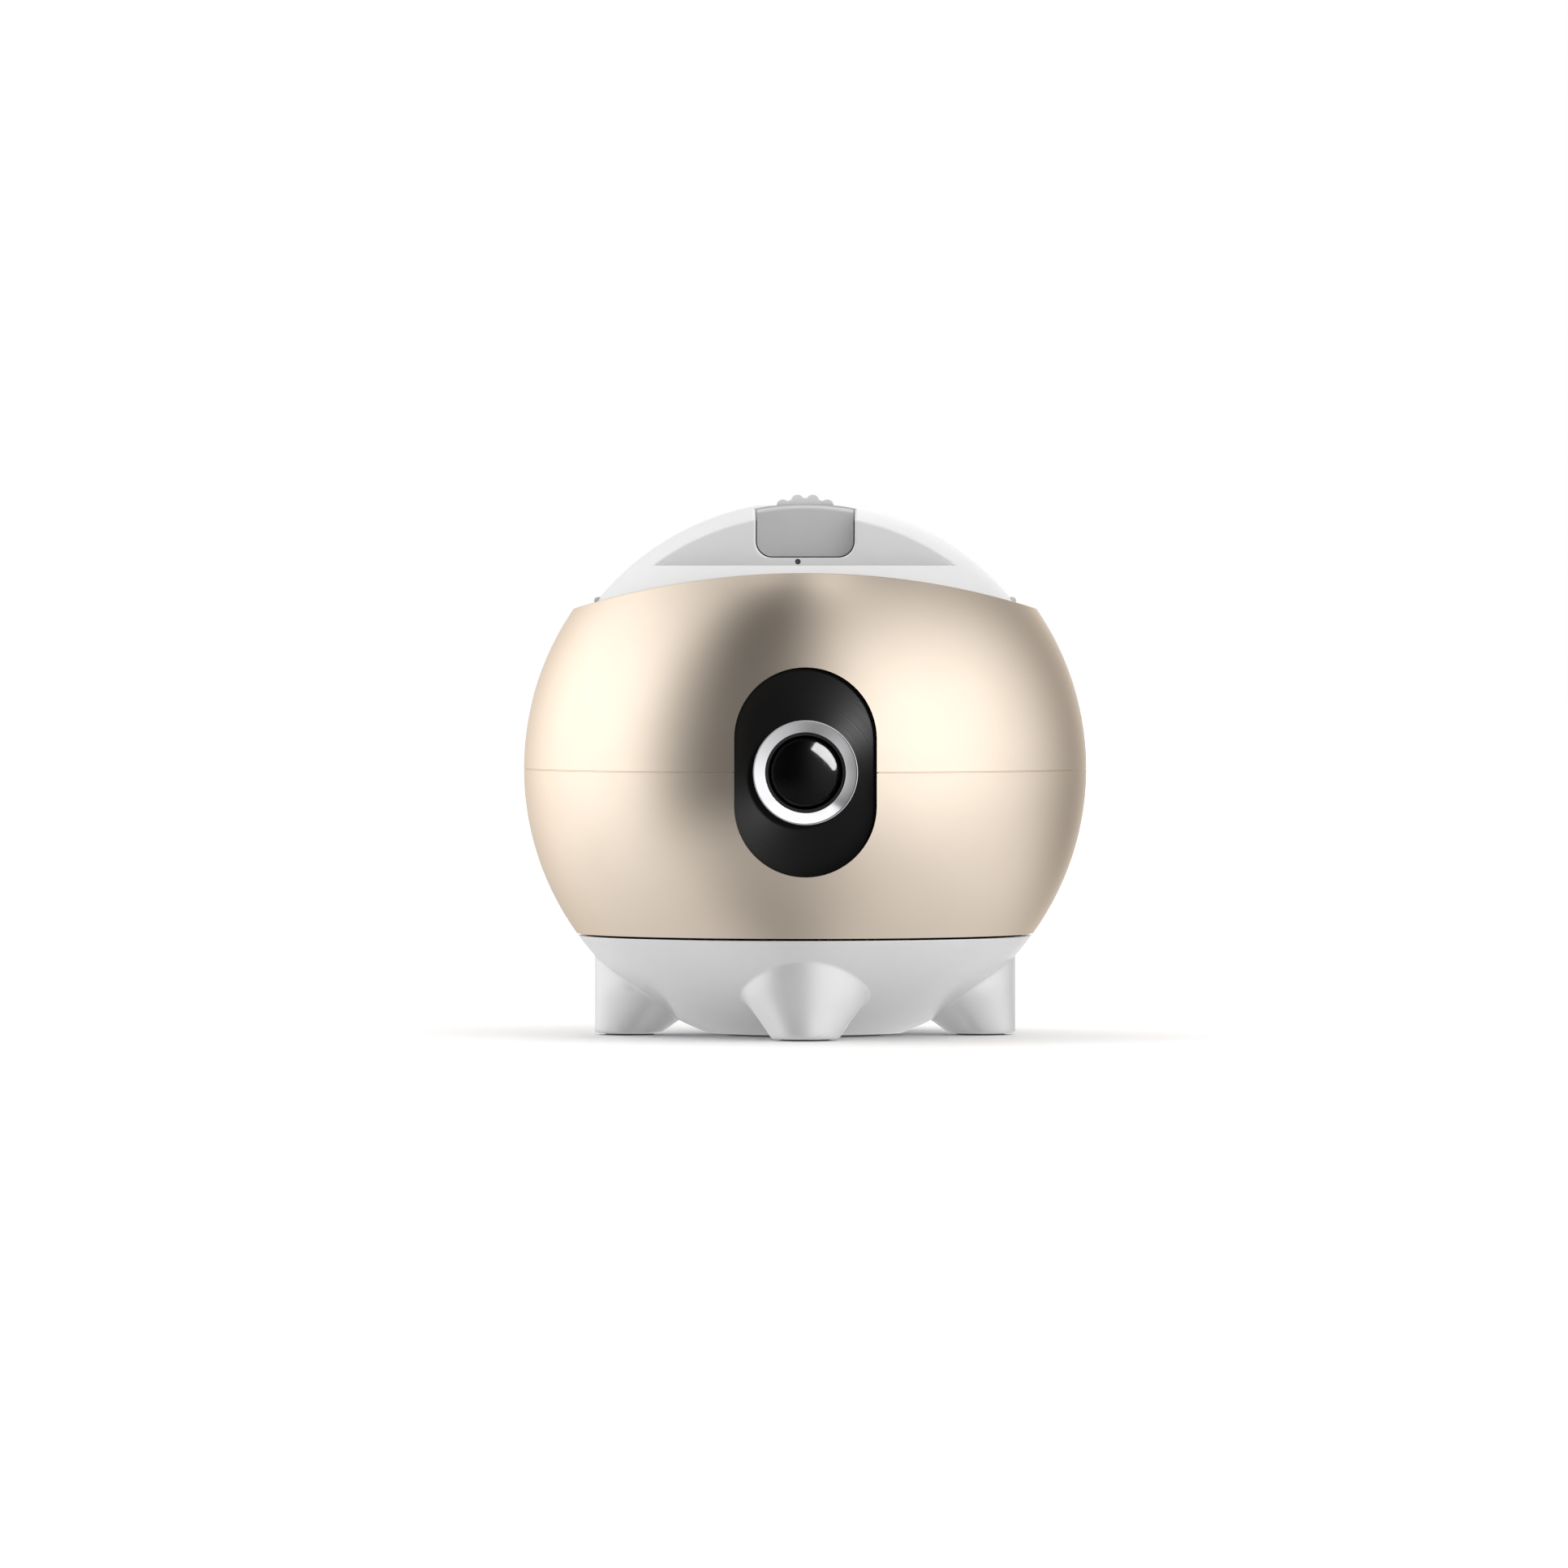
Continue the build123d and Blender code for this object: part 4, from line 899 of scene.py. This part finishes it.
@dataclass
class Studio:
    """A pale floor, wide banks of light, a card for each piece of the lens, and the long-lens camera.

    Each ramp is (position, brightness) stops. round_the_side goes round the horizon from behind the ball and
    back, with the front at 0.5; round_below does so beneath it; up_the_side goes from straight down to
    straight up, by the height on a unit ball.
    """

    ball: Ball
    view_width: float = 278.8 * MM
    distance: float = 2.5
    elevation_deg: float = 0.9
    aim_x: float = -3.75 * MM
    aim_drop: float = 2.74 * MM
    bank_strength: float = 1.6
    below_horizon: tuple[float, float] = (0.45, 0.20)
    sky_strength: float = 1.4
    sky_deg: float = 70.0
    floor_radius: float = 6.0
    floor_corners: int = 96
    plate_card: Card = Card("plate_card", 14, 11, (0.08, 0.08), 8.0)
    ring_card: Card = Card("ring_card", 0, 50, (1.2, 0.35), 2.1)
    glass_card: Card = Card("glass_card", 34, 24, (0.75, 0.28), 40.0, roll=130)
    round_the_side: tuple[tuple[float, float], ...] = (
        (0.0, 0.42), (0.08, 0.72), (0.14, 0.96), (0.20, 1.0), (0.265, 1.0), (0.305, 0.80), (0.34, 0.36),
        (0.375, 0.11), (0.42, 0.09), (0.465, 0.12), (0.50, 0.27), (0.54, 0.66), (0.58, 0.95), (0.64, 1.0),
        (0.70, 0.96), (0.76, 0.78), (0.82, 0.50), (0.87, 0.27), (0.93, 0.25), (1.0, 0.42),
    )
    round_below: tuple[tuple[float, float], ...] = (
        (0.0, 0.70), (0.10, 0.80), (0.20, 0.98), (0.29, 0.98), (0.34, 0.84), (0.38, 0.62), (0.42, 0.48),
        (0.46, 0.48), (0.50, 0.58), (0.55, 0.76), (0.60, 0.92), (0.66, 1.0), (0.75, 1.0), (0.83, 0.92),
        (0.90, 0.74), (1.0, 0.70),
    )
    up_the_side: tuple[tuple[float, float], ...] = (
        (0.0, 0.42), (0.067, 0.48), (0.146, 0.55), (0.25, 0.64), (0.37, 0.80), (0.5, 0.97), (0.63, 1.03),
        (0.75, 0.98), (0.85, 0.80), (0.933, 0.54), (0.98, 0.38), (1.0, 0.34),
    )

    def add_camera(self) -> None:
        """A long lens, nearly level, that looks along +Y."""
        data = bpy.data.cameras.new("camera")
        data.sensor_width = 36.0
        data.lens = data.sensor_width * self.distance / self.view_width
        data.clip_end = 50.0
        camera = bpy.data.objects.new("camera", data)
        tilt = math.radians(self.elevation_deg)
        camera.location = (
            self.aim_x,
            -self.distance * math.cos(tilt),
            self.ball.centre[2] - self.aim_drop + self.distance * math.sin(tilt),
        )
        camera.rotation_euler = (math.pi / 2 - tilt, 0, 0)
        bpy.context.scene.collection.objects.link(camera)
        bpy.context.scene.camera = camera

    def add_floor(self) -> None:
        """A wide pale floor."""
        angle = np.linspace(0, 2 * math.pi, self.floor_corners, endpoint=False)
        points = np.stack([np.cos(angle), np.sin(angle), np.zeros(self.floor_corners)], axis=-1)
        outline = np.arange(self.floor_corners)[None, :]
        floor = build_mesh("floor", points * self.floor_radius, [outline], smooth=False)
        paper = Finish("matt_white_paper", "#FAFAFA", "#F8F8F8", 0.0, 0.8, Grain.ORANGE_PEEL, 2.0, 0.001)
        floor.data.materials.append(paper.build())
        floor.visible_glossy = False

    def add_world(self) -> None:
        """White to the eye; as light, two wide banks at the sides with a dark gap between them.

        The light in a direction is the product of a ramp round the azimuth and a ramp over the height. Below
        the horizon another ramp round the azimuth takes over, where a pale floor fills the gap.
        """
        world = bpy.data.worlds.new("studio")
        world.use_nodes = True
        tree = world.node_tree
        tree.nodes.clear()
        place = add_node(tree, "ShaderNodeTexCoord")
        axes = add_node(tree, "ShaderNodeSeparateXYZ", links={"Vector": (place, "Generated")})
        toward = add_node(tree, "ShaderNodeMath", {1: -1.0}, {0: (axes, "Y")}, operation="MULTIPLY")
        azimuth = add_node(
            tree, "ShaderNodeMath", links={0: (axes, "X"), 1: (toward, 0)}, operation="ARCTAN2"
        )
        turn = add_node(
            tree, "ShaderNodeMapRange", {"From Min": -math.pi, "From Max": math.pi}, {"Value": (azimuth, 0)}
        )
        height = add_node(tree, "ShaderNodeMapRange", {"From Min": -1.0}, {"Value": (axes, "Z")})
        ramps = []
        for source, stops in (
            (turn, self.round_the_side), (turn, self.round_below), (height, self.up_the_side)
        ):
            ramp = add_node(tree, "ShaderNodeValToRGB", links={"Fac": (source, 0)})
            ramp.color_ramp.interpolation = "B_SPLINE"
            for position, value in stops:
                element = ramp.color_ramp.elements.new(position)
                element.color = (value, value, value, 1.0)
            ramp.color_ramp.elements.remove(ramp.color_ramp.elements[0])
            ramp.color_ramp.elements.remove(ramp.color_ramp.elements[-1])
            ramps.append(ramp)
        lowness = add_node(
            tree, "ShaderNodeMapRange",
            {"From Min": self.below_horizon[0], "From Max": self.below_horizon[1]},
            {"Value": (height, 0)}, interpolation_type="SMOOTHSTEP"
        )
        sides = add_node(
            tree, "ShaderNodeMix", links={"Factor": (lowness, 0), 2: (ramps[0], 0), 3: (ramps[1], 0)}
        )
        product = add_node(
            tree, "ShaderNodeMath", links={0: (sides, 0), 1: (ramps[2], 0)}, operation="MULTIPLY"
        )
        strength = add_node(
            tree, "ShaderNodeMath", {1: self.bank_strength}, {0: (product, 0)}, operation="MULTIPLY"
        )
        path = add_node(tree, "ShaderNodeLightPath")
        seen = add_node(tree, "ShaderNodeBackground", {"Color": (1, 1, 1, 1), "Strength": 1.0})
        light = add_node(tree, "ShaderNodeBackground", {"Color": (1, 1, 1, 1)}, {"Strength": (strength, 0)})
        mix = add_node(
            tree, "ShaderNodeMixShader", links={0: (path, "Is Camera Ray"), 1: (light, 0), 2: (seen, 0)}
        )
        add_node(tree, "ShaderNodeOutputWorld", links={"Surface": (mix, 0)})
        bpy.context.scene.world = world

    def add_sky(self) -> None:
        """A wide soft light from straight above, which whitens the floor and isn't mirrored in the ball."""
        data = bpy.data.lights.new("sky", "SUN")
        data.angle = math.radians(self.sky_deg)
        data.energy = self.sky_strength
        light = bpy.data.objects.new("sky", data)
        light.location = (0, 0, 1)
        light.visible_glossy = False
        bpy.context.scene.collection.objects.link(light)

    def add(self, plate: bpy.types.Object, ring: bpy.types.Object, glass: bpy.types.Object) -> None:
        """Sets up the whole studio.

        Args:
            plate: the window plate.
            ring: the lens ring.
            glass: the front glass.
        """
        self.add_camera()
        self.add_floor()
        self.add_world()
        self.add_sky()
        for card, piece in ((self.glass_card, glass), (self.plate_card, plate), (self.ring_card, ring)):
            card.add(self.ball.centre, piece)
        bpy.context.scene.view_settings.view_transform = "Standard"


def main() -> None:
    """Builds the camera and its studio in order."""
    logging.basicConfig(level=logging.INFO, format="%(name)s %(message)s")
    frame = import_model()
    ball = Ball.from_frame()
    lens_low, lens_high = (np.array(corner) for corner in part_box("lens_ring"))
    lens_centre = tuple(float(value) for value in (lens_low + lens_high) / 2)
    materials = finishes(lens_centre)
    dress_frame(frame, materials)
    Base(ball).add(materials)
    bezel, front_glass = LensSet().add(materials)
    SeamGasket(ball).add(materials)
    Studio(ball).add(frame["nodes"]["lens_carriage"], bezel, front_glass)


if __name__ == "__main__":
    main()
